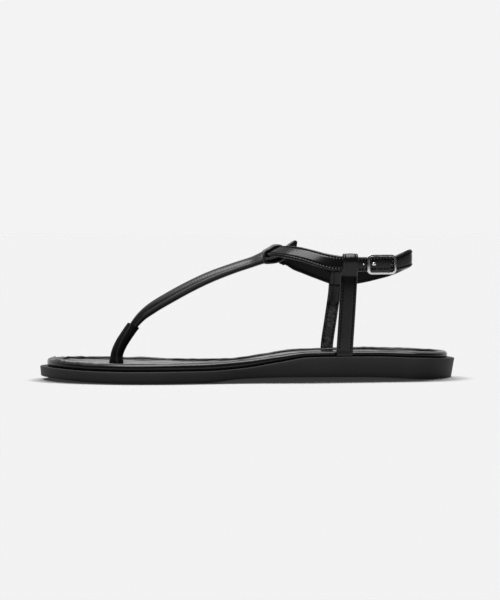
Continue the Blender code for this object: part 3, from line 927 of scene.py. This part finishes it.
def coated_leather(name, colour, roughness, grain, depth, coat=0.0, shine=0.32):
    """Leather with a smooth glossy coat: black, with a fine pebbled grain and soft waves under it."""
    finish, tree, shader = principled(
        name,
        **{"IOR": 1.5, "Coat Weight": coat, "Coat Roughness": 0.12, "Specular IOR Level": shine},
    )
    cells = {"Vector": in_place(tree), "Scale": per_mm(grain)}
    pebble = add_node(tree, "ShaderNodeTexVoronoi", cells, feature="SMOOTH_F1").outputs["Distance"]
    wave = speckle(tree, 14.0, 3.0)
    height = reckon(tree, "ADD", pebble, speckle(tree, grain * 0.6, 2.0))
    plug(tree, shader, {
        "Base Color": shades(tree, wave, colour, 0.8, 1.25),
        "Roughness": ranged(tree, wave, To_Min=roughness * 0.75, To_Max=roughness * 1.3),
        "Normal": bumps(tree, height, 0.35, depth),
    })
    return finish


def split_lining(colours):
    """Split leather lining: dull and fibrous, with short nap in streaks."""
    finish, tree, shader = principled("split_leather_lining", **{"Roughness": 0.5, "Sheen Weight": 0.15})
    nap = speckle(tree, 2.2, 6.0, 0.7)
    tuft = ranged(tree, nap, From_Min=0.42, From_Max=0.66)
    plug(tree, shader, {
        "Base Color": shades(tree, tuft, colours.lining, 0.1, 6.0),
        "Normal": bumps(tree, nap, 1.0, 1.2),
    })
    return finish


def folded_leather(colours):
    """Folded strap leather: half gloss, with fine ribs across it where it was gathered."""
    finish, tree, shader = principled(
        "folded_leather", **{"Roughness": 0.3, "IOR": 1.5, "Coat Weight": 0.1},
    )
    grain = speckle(tree, 1.1, 3.0)
    turn = reckon(tree, "MULTIPLY", field(tree, "along"), 2.0 * math.pi * per_mm(RIB_PITCH))
    rib = reckon(tree, "SINE", reckon(tree, "ADD", turn, grain))
    height = reckon(tree, "MULTIPLY_ADD", rib, 0.25, grain)
    plug(tree, shader, {
        "Base Color": shades(tree, grain, colours.leather, 0.8, 1.3),
        "Normal": bumps(tree, height, 0.35, 0.12),
    })
    return finish


def extruded_rubber(colours):
    """Extruded soft rubber tube: matt black, with a fine grain and a painted highlight along its seam."""
    finish, tree, shader = principled(
        "extruded_rubber", **{"Roughness": 0.6, "IOR": 1.5, "Specular IOR Level": 0.16},
    )
    grain = speckle(tree, 1.2, 4.0)
    matt = shades(tree, grain, colours.sleeve, 0.7, 1.3)
    plug(tree, shader, {
        # painted highlight: along the seam field the colour turns twelve times paler than the rubber
        "Base Color": mixed(tree, field(tree, "seam"), matt, shade(colours.sleeve, 12.0)),
        "Normal": bumps(tree, grain, 0.3, 0.1),
    })
    return finish


def polished_steel(colours):
    """Polished plated steel: bright, with faint rubbing marks that spread its highlights."""
    finish, tree, shader = principled(
        "polished_plated_steel", **{"Metallic": 1.0, "Base Color": shade(colours.steel, 1.0)},
    )
    plug(tree, shader, {"Roughness": ranged(tree, speckle(tree, 1.5, 5.0), To_Min=0.08, To_Max=0.24)})
    return finish


def bonded_thread(colours):
    """Bonded polyester thread: dark, with a painted sheen in small paler and darker patches."""
    finish, tree, shader = principled(
        "bonded_thread", **{"Roughness": 0.9, "Specular IOR Level": 0.05},
    )
    # painted sheen: the thread's colour made paler and darker in small patches
    painted_sheen = speckle(tree, 0.5, 2.0)
    plug(tree, shader, {"Base Color": shades(tree, painted_sheen, colours.thread, 0.6, 1.5)})
    return finish


def painted_board(colours):
    """Matt painted board of the studio floor: pale and even, with the faintest cloud."""
    # a little light of its own keeps the shadow under the sole from going black
    finish, tree, shader = principled(
        "painted_board",
        **{
            "Roughness": 1.0, "Specular IOR Level": 0.0,
            "Emission Color": (1.0, 1.0, 1.0, 1.0), "Emission Strength": 0.036,
        },
    )
    cloud = speckle(tree, 1000.0, 1.0)
    plug(tree, shader, {"Base Color": shades(tree, cloud, colours.floor, 0.998, 1.0)})
    return finish


def waves(p, q, rows):
    """Smooth repeatable waves in two measures, added up."""
    return sum(row.share * noise.noise(Vector((p / row.long, q / row.wide, row.seed))) for row in rows)


def fade(value, start, span):
    """Nought before a start, one past a span, and even between."""
    return min(1.0, max(0.0, (value - start) / span))


def length(name, description, size):
    """A length in millimetres that the panel shows."""
    return bpy.props.FloatProperty(name=name, description=description, default=size * MM, unit="LENGTH")


def tint(name, description, hex_colour):
    """A colour that the panel shows."""
    return bpy.props.FloatVectorProperty(
        name=name, description=description, default=linear(hex_colour), subtype="COLOR",
    )


class SandalSizes(bpy.types.PropertyGroup):
    """Sizes of the sandal's finish."""

    stitch_pitch: length("Stitch pitch", "Distance from stitch to stitch", 1.9)
    stitch_share: bpy.props.FloatProperty(
        name="Stitch share", description="Share of the pitch that is thread", default=0.78, subtype="FACTOR",
    )
    thread: length("Thread", "Thickness of the sewing thread", 0.76)
    pucker_depth: length("Pucker depth", "Depth of the puckers in the pad's rim", 0.55)
    pucker_long: length("Pucker length", "Distance between the rim's puckers", 9.0)
    swell: length("Pad waves", "Height of the soft waves in the pad", 0.5)


class SandalColours(bpy.types.PropertyGroup):
    """Colours of the sandal's materials."""

    rubber: tint("Rubber", "Moulded sole", "#151516")
    leather: tint("Leather", "Coated straps and pad", "#101011")
    lining: tint("Lining", "Inside of the side straps", "#1e1e20")
    sleeve: tint("Sleeve", "Tube over the toe post", "#080808")
    thread: tint("Thread", "Sewing thread", "#0d0d0d")
    steel: tint("Steel", "Buckle and prong", "#d9d7d4")
    floor: tint("Floor", "Studio floor", "#3a3a3a")


class SANDAL_OT_outsole(bpy.types.Operator):
    """Make the moulded sole with its rounded rim and the channel round the pad."""

    bl_idname = "sandal.outsole"
    bl_label = "Outsole"

    def execute(self, context):
        from_heel, _ = ring_places()
        floor, rim = sole("floor", from_heel), sole("rim", from_heel)
        draft = HEEL_DRAFT + (TOE_DRAFT - HEEL_DRAFT) * from_heel / SOLE_LENGTH
        rings = []
        for row in SOLE_SIDE:
            height = floor + (rim - floor) * row.rise + row.lift
            rings.append(sole_ring(row.lean * draft + row.inset, height))
        rubber = moulded_rubber(context.scene.sandal_colours)
        add_piece(
            "outsole_finish", np.stack(rings), ring_faces(rings), [rubber], ["outsole"],
        )
        return {"FINISHED"}


class SANDAL_OT_insole_pad(bpy.types.Operator):
    """Make the padded insole: rolled puckered rim, sewn groove and waved dished middle."""

    bl_idname = "sandal.insole_pad"
    bl_label = "Insole pad"

    def execute(self, context):
        from_heel, side = ring_places()
        base, tall = sole("rim", from_heel) + PAD_GAP, sole("pad", from_heel)
        places = column(PAD_TILT, "from_heel")
        outer, inner = (smooth(places, column(PAD_TILT, name), from_heel) for name in ("outer", "inner"))
        tilt = np.where(side < 0.0, outer, -inner)
        rows = [(row.inset, row.share, row.drop, 1.0) for row in PAD]
        last = PAD[-1]
        for inset in np.arange(last.inset + PAD_RING_STEP, PAD_INNER, PAD_RING_STEP):
            into = min(1.0, (inset - last.inset) / PAD_DISH)
            drop = last.drop + (PAD_DEEP - last.drop) * into * into * (3.0 - 2.0 * into)
            rows.append((inset, 1.0, drop, 1.0))
        rows += [(inset, 1.0, PAD_DEEP, 1.0 - k / PAD_MIDDLE_RINGS) for k in range(1, PAD_MIDDLE_RINGS)]
        half = sole("half_width", from_heel)
        rings = []
        for inset, share, drop, narrow in rows:
            aside = np.maximum(0.0, 1.0 - inset / half) * narrow
            height = base + share * (tall + tilt * aside) - drop
            rings.append(sole_ring(PAD_LEDGE + inset, height, narrow))
        grid, insets = np.stack(rings), [row[0] for row in rows]
        self.ripple(grid, insets, context.scene.sandal_sizes)
        self.crease(grid, insets)
        leather = coated_leather(
            "padded_coated_leather", context.scene.sandal_colours.leather,
            roughness=0.23, grain=1.1, depth=0.06, coat=0.15,
        )
        piece = add_piece(
            "insole_pad_finish", grid, ring_faces(rings), [leather], ["insole_pad"],
        )
        return {"FINISHED"}

    def ripple(self, grid, insets, sizes):
        """Pucker the rolled rim towards the groove, wave the middle and press it in at the post."""
        pucker, long = sizes.pucker_depth / MM, sizes.pucker_long / MM
        swell = sizes.swell / MM
        around = lengths(grid[WIDEST_RING])
        post = T_STRAP[0]
        for ring, inset in zip(grid, insets):
            near_groove = math.exp(-((inset - PAD_GROOVE) / GROOVE_REACH) ** 2)
            on_rim = min(1.0, inset / PAD_ROLL) * near_groove
            on_roll = math.exp(-((inset - PAD_ROLL) / ROLL_REACH) ** 2)
            middle = fade(inset, PAD_GROOVE, MIDDLE_SPAN)
            for k, point in enumerate(ring):
                x, y = point[0], point[1]
                heel = 1.0 + HEEL_WAVES * fade(x, *HEEL_SPAN)
                toe = fade(-x, *TOE_SPAN)
                away = math.hypot(x - post.x, y - post.y) / POST_REACH
                crimp = pucker * (1.0 + TOE_CRIMP * toe) * on_rim * waves(around[k] / long, inset, CRIMP)
                point[2] += crimp + swell * heel * middle * waves(x, y, SWELL)
                point[2] += TOE_GATHER * pucker * toe * on_roll * waves(around[k], inset, GATHER)
                point[2] -= POST_PRESS * math.exp(-away * away)

    def crease(self, grid, insets):
        """Press the worn creases into the pad inside its groove, each with a soft lip."""
        inside = np.clip((np.array(insets) - PAD_GROOVE) / CREASE_FADE, 0.0, 1.0)[:, None]
        for crease in CREASES:
            turn = math.radians(crease.turn)
            x, y = grid[..., 0] - crease.x, grid[..., 1] - crease.y
            along = (x * math.cos(turn) + y * math.sin(turn)) / crease.long
            across = (y * math.cos(turn) - x * math.sin(turn)) / crease.wide
            lip = 1.0 - 0.5 * across * across
            grid[..., 2] -= inside * crease.deep * lip * np.exp(-along * along - across * across / 2.0)


class SANDAL_OT_ankle_strap(bpy.types.Operator):
    """Make the ankle strap with its stitched edges and its fold round the buckle's pin."""

    bl_idname = "sandal.ankle_strap"
    bl_label = "Ankle strap"

    def execute(self, context):
        sizes, colours = context.scene.sandal_sizes, context.scene.sandal_colours
        path = path_through(places_in(ANKLE_STRAP))
        lean, up, down = (spread(ANKLE_STRAP, name) for name in ("lean", "up", "down"))
        along = unit(np.gradient(path, axis=0))
        inwards = unit(np.cross(UP, along))
        turn = np.radians(lean)[:, None]
        _, side, out = axes(path, UP * np.cos(turn) + inwards * np.sin(turn))
        leather = coated_leather(
            "coated_strap_leather", colours.leather, roughness=0.2, grain=0.9, depth=0.05,
        )
        inside = coated_leather(
            "smooth_strap_lining", colours.leather, roughness=0.42, grain=0.8, depth=0.05, shine=0.12,
        )
        section = flat_section(up, down, ANKLE_THICK, ANKLE_CROWN)
        piece = flat_strap("ankle_strap_finish", path, side, out, section, [leather, inside])
        punch(piece, HOLE, HOLE_RADIUS)
        self.fold(leather)
        rows = stitch_rows(path, side, out, up, down, ANKLE_THICK, SPAN_STEPS, ANKLE_SEWN_TO)
        add_stitches("ankle_strap_stitches", rows, sizes, bonded_thread(colours))
        return {"FINISHED"}

    def fold(self, leather):
        """The strap's end rolled round the pin, above and below the slot for the prong."""
        along, out = circle(FOLD_SIDES).T
        reach = np.where(along < 0.0, FOLD_FRONT, FOLD_BACK)
        rows = [
            (FOLD_SLOT, FOLD_ROUND), (FOLD_SLOT + FOLD_ROUND, 0.0),
            (FOLD_TOP - FOLD_ROUND, 0.0), (FOLD_TOP, FOLD_ROUND),
        ]
        points, faces = [], []
        for sign in (1.0, -1.0):
            rings = [(sign * up, along * (reach - less), out * (FOLD_FRONT - less)) for up, less in rows]
            rings += [(sign * up, along * FOLD_HOLE, out * FOLD_HOLE) for up in (FOLD_TOP, FOLD_SLOT)]
            first = len(points) * FOLD_SIDES
            faces.append(grid_faces(len(rings), FOLD_SIDES, ring=True) + first)
            for up, ahead, away in rings:
                points.append([in_buckle(PIN_ALONG + p, up, PIN_OUT + q) for p, q in zip(ahead, away)])
        add_piece(
            "ankle_strap_fold", np.vstack(points), np.vstack(faces), [leather], ["upper"],
        )


class SANDAL_OT_side_straps(bpy.types.Operator):
    """Make the two side straps with their loops over the ankle strap."""

    bl_idname = "sandal.side_straps"
    bl_label = "Side straps"

    def execute(self, context):
        sizes, colours = context.scene.sandal_sizes, context.scene.sandal_colours
        leather = coated_leather(
            "coated_side_leather", colours.leather, roughness=0.2, grain=0.9, depth=0.05,
        )
        lining = split_lining(colours)
        thread = bonded_thread(colours)
        first, last = (row * SPAN_STEPS for row in SIDE_SEWN)
        for name, strap, foot, wide, seam in (
            ("outer_side_strap", OUTER_STRAP, OUTER_FOOT_Y, OUTER_WIDE, OUTER_SEAM),
            ("inner_side_strap", INNER_STRAP, INNER_FOOT_Y, INNER_WIDE, INNER_SEAM),
        ):
            outwards = math.copysign(1.0, foot)
            path = path_through([(row.x, foot + outwards * row.off, row.z) for row in strap])
            _, side, out = axes(path, LENGTHWAYS * outwards)
            past = lengths(path) - lengths(path)[int(seam * SPAN_STEPS)]
            half = wide / 2.0 - LOOP_NARROW * np.clip(past / SEAM_FADE, 0.0, 1.0)
            section = flat_section(half, half, SIDE_THICK, SIDE_CROWN)
            step = np.where(past < 0.0, np.exp(past / SEAM_FADE), np.exp(-(past / SEAM_LIP) ** 2))
            section[:, :2 * len(STRAP_EDGE) + 1, 1] -= SEAM_STEP * step[:, None]
            flat_strap(name + "_finish", path, side, out, section, [leather, lining])
            rows = stitch_rows(path, side, out, half, half, SIDE_THICK, first, last)
            add_stitches(name + "_stitches", rows, sizes, thread)
        return {"FINISHED"}


class SANDAL_OT_t_strap(bpy.types.Operator):
    """Make the folded T strap and the loop that holds the ankle strap."""

    bl_idname = "sandal.t_strap"
    bl_label = "T strap"

    def execute(self, context):
        leather = folded_leather(context.scene.sandal_colours)
        path = path_through(places_in(T_STRAP))
        _, side, out = axes(path, SIDEWAYS)
        wide, tall = spread(T_STRAP, "wide"), spread(T_STRAP, "tall")
        across, height = column(T_FOLD, "across"), column(T_FOLD, "height")
        across = np.append(across, -across[-2:0:-1])
        height = np.append(height, height[-2:0:-1])
        section = np.stack([wide[:, None] / 2.0 * across, tall[:, None] / 2.0 * height], axis=-1)
        mouth = lengths(path) - lengths(path)[(SLEEVE_ROWS - 1) * SPAN_STEPS]
        pinch = PINCH * np.exp(-(mouth / PINCH_REACH) ** 2)
        section[..., 0] *= 1.0 - pinch[:, None] * np.exp(-((height - PINCH_HEIGHT) / PINCH_TALL) ** 2)
        columns = len(across)
        fields = {"along": np.repeat(lengths(path) * MM, columns)}
        add_piece(
            "t_strap_finish", sweep(path, side, out, section), capped_faces(len(path), columns),
            [leather], ["upper"], fields,
        )
        points = [(row.x, LOOP_CENTRE_Y, row.z) for row in T_LOOP]
        ring = path_through(points[-1:] + points + points[:2])[SPAN_STEPS:-SPAN_STEPS - 1]
        _, side, out = axes(ring, SIDEWAYS, ring=True)
        half = np.full(len(ring), LOOP_WIDE / 2.0)
        section = flat_section(half, half, LOOP_THICK)
        flat_strap("t_loop_finish", ring, side, out, section, [leather, leather], ring=True)
        return {"FINISHED"}


class SANDAL_OT_sleeve(bpy.types.Operator):
    """Make the rubber sleeve over the toe post, with its lengthwise seam."""

    bl_idname = "sandal.sleeve"
    bl_label = "Toe post sleeve"

    def execute(self, context):
        path = path_through(places_in(T_STRAP))
        path = path[SPAN_STEPS // 3:(SLEEVE_ROWS - 1) * SPAN_STEPS + 1]
        along, side, out = axes(path, SIDEWAYS)
        turn = 2.0 * math.pi * np.arange(SLEEVE_SIDES) / SLEEVE_SIDES
        seam = np.linspace(*SLEEVE_SEAM, len(path))[:, None]
        edge = np.exp(-((turn - seam) / SEAM_WIDE) ** 2)
        above = np.maximum(0.0, path[:, 2] - SLEEVE_SKIRT)
        flare = 1.0 + SLEEVE_FLARE * np.exp(-(above / FLARE_REACH) ** 2)
        radius = SLEEVE_RADIUS * (1.0 + SEAM_TALL * edge) * flare[:, None]
        outer = sweep(path, side, out, circle(SLEEVE_SIDES) * radius[..., None])
        inner = sweep(path, side, out, circle(SLEEVE_SIDES) * (SLEEVE_RADIUS - SLEEVE_WALL))
        below = lengths(path)[-1] - lengths(path)
        slant = SLEEVE_SKEW * np.exp(-(below / SKEW_REACH) ** 2)[:, None] * (1.0 - np.sin(turn))
        for wall in (outer, inner):
            wall += along[:, None] * slant[..., None]
        inner = inner[::-1]
        lip = (outer[-1:] + inner[:1]) / 2.0
        grid = np.concatenate([outer, lip, inner])
        add_piece(
            "toe_post_sleeve_finish", grid, grid_faces(len(grid), SLEEVE_SIDES, ring=True),
            [extruded_rubber(context.scene.sandal_colours)], ["toe_post_sleeve"],
            # the seam field marks the seam's raised edge and where its painted highlight goes
            {"seam": np.vstack([edge, edge[-1:], edge[::-1]])},
        )
        return {"FINISHED"}


class SANDAL_OT_buckle(bpy.types.Operator):
    """Make the buckle's polished frame with its pin, and its prong."""

    bl_idname = "sandal.buckle"
    bl_label = "Buckle"

    def execute(self, context):
        steel = polished_steel(context.scene.sandal_colours)
        self.add_frame(steel)
        self.add_prong(steel)
        return {"FINISHED"}

    def add_frame(self, steel):
        """A bevelled bar bent to a rounded oblong and bowed a little, and the pin behind it."""
        long = BUCKLE_LONG / 2.0 - BUCKLE_WIRE - BUCKLE_CORNER
        tall = BUCKLE_TALL / 2.0 - BUCKLE_WIRE - BUCKLE_CORNER
        upwards = in_buckle(0.0, 1.0, 0.0) - BUCKLE_CENTRE
        outwards = in_buckle(0.0, 0.0, 1.0) - BUCKLE_CENTRE
        points, broad, faced = [], [], []
        for quarter, (right, top) in enumerate(((1, 1), (-1, 1), (-1, -1), (1, -1))):
            for turn in np.linspace(0.0, math.pi / 2.0, CORNER_POINTS) + quarter * math.pi / 2.0:
                along = right * long + BUCKLE_CORNER * math.cos(turn)
                up = top * tall + BUCKLE_CORNER * math.sin(turn)
                points.append(in_buckle(along, up, -BUCKLE_BOW * (up / tall) ** 2))
                faced.append(outwards + upwards * 2.0 * BUCKLE_BOW * up / tall ** 2)
                front, above = max(0.0, -math.cos(turn)), max(0.0, math.sin(turn))
                broad.append(1.0 + FRONT_BROAD * front ** 2 - TOP_THIN * above ** 2)
        path = np.array(points)
        _, side, out = axes(path, np.array(faced), ring=True)
        turns = ((1, 0), (0, 1), (-1, 0), (0, -1))
        wire = np.vstack([BAR_BEVEL @ np.array(((c, s), (-s, c))) for c, s in turns])
        wire = np.broadcast_to(wire * BUCKLE_WIRE * BAR_SHARE, (len(path),) + wire.shape).copy()
        wire[..., 1] *= np.array(broad)[:, None]
        bar = sweep(path, side, out, wire).reshape(-1, 3)
        faces = [tuple(face) for face in grid_faces(len(path), wire.shape[1], ring=True)]
        pin = path_through([in_buckle(PIN_ALONG, row.up, row.out) for row in PIN], PIN_STEPS)
        _, side, out = axes(pin, LENGTHWAYS)
        rod = sweep(pin, side, out, circle(ROUND_SIDES) * PIN_RADIUS).reshape(-1, 3)
        for face in capped_faces(len(pin), ROUND_SIDES):
            faces.append(tuple(corner + len(bar) for corner in face))
        add_piece(
            "buckle_frame_finish", np.vstack([bar, rod]), faces, [steel], ["buckle_frame"],
        )

    def add_prong(self, steel):
        """The prong from its eye round the pin, under the strap and up through the hole."""
        eye = PIN_RADIUS + PRONG_EYE
        points = []
        for turn in np.radians(np.linspace(*EYE_ARC, EYE_POINTS)):
            along, outwards = eye * math.cos(turn), eye * math.sin(turn)
            points.append(in_buckle(PIN_ALONG + along, 0.0, PIN_OUT + outwards))
        sizes = [(PRONG_RADIUS, PRONG_EYE)] * len(points)
        for row in PRONG:
            points.append(in_buckle(row.along, PRONG_UP, row.out))
            sizes.append((row.wide, row.tall))
        path = path_through(points, PRONG_STEPS)
        sizes = np.array(sizes)
        spots = np.arange(len(path)) / PRONG_STEPS
        sizes = np.stack([np.interp(spots, np.arange(len(sizes)), sizes[:, k]) for k in (0, 1)], axis=-1)
        _, side, out = axes(path, UP)
        grid = sweep(path, side, out, circle(ROUND_SIDES) * sizes[:, None])
        faces = capped_faces(len(path), ROUND_SIDES)
        add_piece("buckle_prong_finish", grid, faces, [steel], ["buckle_prong"])


class SANDAL_OT_stage(bpy.types.Operator):
    """Make the studio: pale floor, soft light from above and behind, and the camera."""

    bl_idname = "sandal.stage"
    bl_label = "Stage"

    def execute(self, context):
        scene = context.scene
        self.add_floor(scene)
        self.add_sky(scene)
        self.add_lamps(scene)
        self.add_camera(scene)
        scene.view_settings.view_transform = "Standard"
        scene.view_settings.look = "None"
        return {"FINISHED"}

    def add_floor(self, scene):
        """A wide round floor."""
        skin = bmesh.new()
        bmesh.ops.create_circle(skin, cap_ends=True, cap_tris=True, segments=64, radius=FLOOR_RADIUS)
        mesh = bpy.data.meshes.new("studio_floor")
        skin.to_mesh(mesh)
        skin.free()
        mesh.materials.append(painted_board(scene.sandal_colours))
        floor = bpy.data.objects.new("studio_floor", mesh)
        studio = bpy.data.collections.new("studio")
        scene.collection.children.link(studio)
        studio.objects.link(floor)

    def add_sky(self, scene):
        """A soft room that is bright above and behind and dim in front, with an even backdrop."""
        world = bpy.data.worlds.new("studio")
        world.use_nodes = True
        scene.world = world
        tree = world.node_tree
        sky = tree.nodes["Background"]
        sky.inputs["Color"].default_value = WHITE
        way = add_node(tree, "ShaderNodeTexCoord").outputs["Generated"]
        tilt = add_node(tree, "ShaderNodeVectorMath", {0: way, 1: SKY_WAY}, operation="DOT_PRODUCT")
        limits = {"From Min": 0.0, "From Max": SKY_REACH, "To Min": SKY_DIM, "To Max": SKY_BRIGHT}
        glow = {"Value": tilt.outputs["Value"], **limits}
        ramp = add_node(tree, "ShaderNodeMapRange", glow, interpolation_type="SMOOTHSTEP")
        tree.links.new(ramp.outputs[0], sky.inputs["Strength"])
        backdrop = add_node(tree, "ShaderNodeBackground", {"Color": WHITE, "Strength": BACKDROP})
        seen = add_node(tree, "ShaderNodeLightPath").outputs["Is Camera Ray"]
        both = add_node(tree, "ShaderNodeMixShader", {0: seen, 1: sky.outputs[0], 2: backdrop.outputs[0]})
        tree.links.new(both.outputs[0], tree.nodes["World Output"].inputs["Surface"])

    def add_lamps(self, scene):
        """A lamp overhead, a fill on the sole's side, and a fan of lamps behind for the floor."""
        sole_only = bpy.data.collections.new("sole_only")
        sole_only.objects.link(bpy.data.objects["outsole_finish"])
        for row in LAMPS:
            lamp = bpy.data.lights.new(row.name, "SUN")
            lamp.energy = row.energy
            lamp.angle = math.radians(row.broad)
            piece = bpy.data.objects.new(row.name, lamp)
            piece.rotation_euler = (math.radians(row.tip), 0.0, math.radians(row.turn))
            scene.collection.objects.link(piece)
            piece.light_linking.receiver_collection = bpy.data.collections[row.lights]
            if row.shaded_by:
                piece.light_linking.blocker_collection = bpy.data.collections[row.shaded_by]

    def add_camera(self, scene):
        """A long lens at the height of the straps, a little towards the toe."""
        lens = bpy.data.cameras.new("camera")
        lens.sensor_width = CAMERA_SENSOR
        lens.lens = CAMERA_LENS
        lens.clip_end = CAMERA_END
        camera = bpy.data.objects.new("camera", lens)
        level = math.cos(CAMERA_TILT)
        back = Vector((
            math.sin(CAMERA_TURN) * level, -math.cos(CAMERA_TURN) * level, math.sin(CAMERA_TILT),
        ))
        camera.location = CAMERA_AIM * MM + back * CAMERA_AWAY * MM
        camera.rotation_euler = back.to_track_quat("Z", "Y").to_euler()
        scene.collection.objects.link(camera)
        scene.camera = camera


class SANDAL_PT_panel(bpy.types.Panel):
    """Lists the sandal's sizes, colours and pieces."""

    bl_idname = "SANDAL_PT_panel"
    bl_label = "Sandal"
    bl_space_type = "VIEW_3D"
    bl_region_type = "UI"
    bl_category = "Sandal"

    def draw(self, context):
        for group in (context.scene.sandal_sizes, context.scene.sandal_colours):
            box = self.layout.box()
            for name in group.__annotations__:
                box.prop(group, name)
        for operator in PIECES:
            self.layout.operator(operator.bl_idname)


PIECES = (
    SANDAL_OT_outsole,
    SANDAL_OT_insole_pad,
    SANDAL_OT_t_strap,
    SANDAL_OT_ankle_strap,
    SANDAL_OT_side_straps,
    SANDAL_OT_sleeve,
    SANDAL_OT_buckle,
    SANDAL_OT_stage,
)
CLASSES = (SandalSizes, SandalColours, *PIECES, SANDAL_PT_panel)


def register():
    """Add the classes and the scene's settings."""
    for kind in CLASSES:
        bpy.utils.register_class(kind)
    bpy.types.Scene.sandal_sizes = bpy.props.PointerProperty(type=SandalSizes)
    bpy.types.Scene.sandal_colours = bpy.props.PointerProperty(type=SandalColours)


def unregister():
    """Take the scene's settings and the classes away."""
    del bpy.types.Scene.sandal_colours
    del bpy.types.Scene.sandal_sizes
    for kind in reversed(CLASSES):
        bpy.utils.unregister_class(kind)


def main():
    """Make every piece and the stage."""
    register()
    for operator in PIECES:
        group, name = operator.bl_idname.split(".")
        getattr(getattr(bpy.ops, group), name)()


if __name__ == "__main__":
    main()
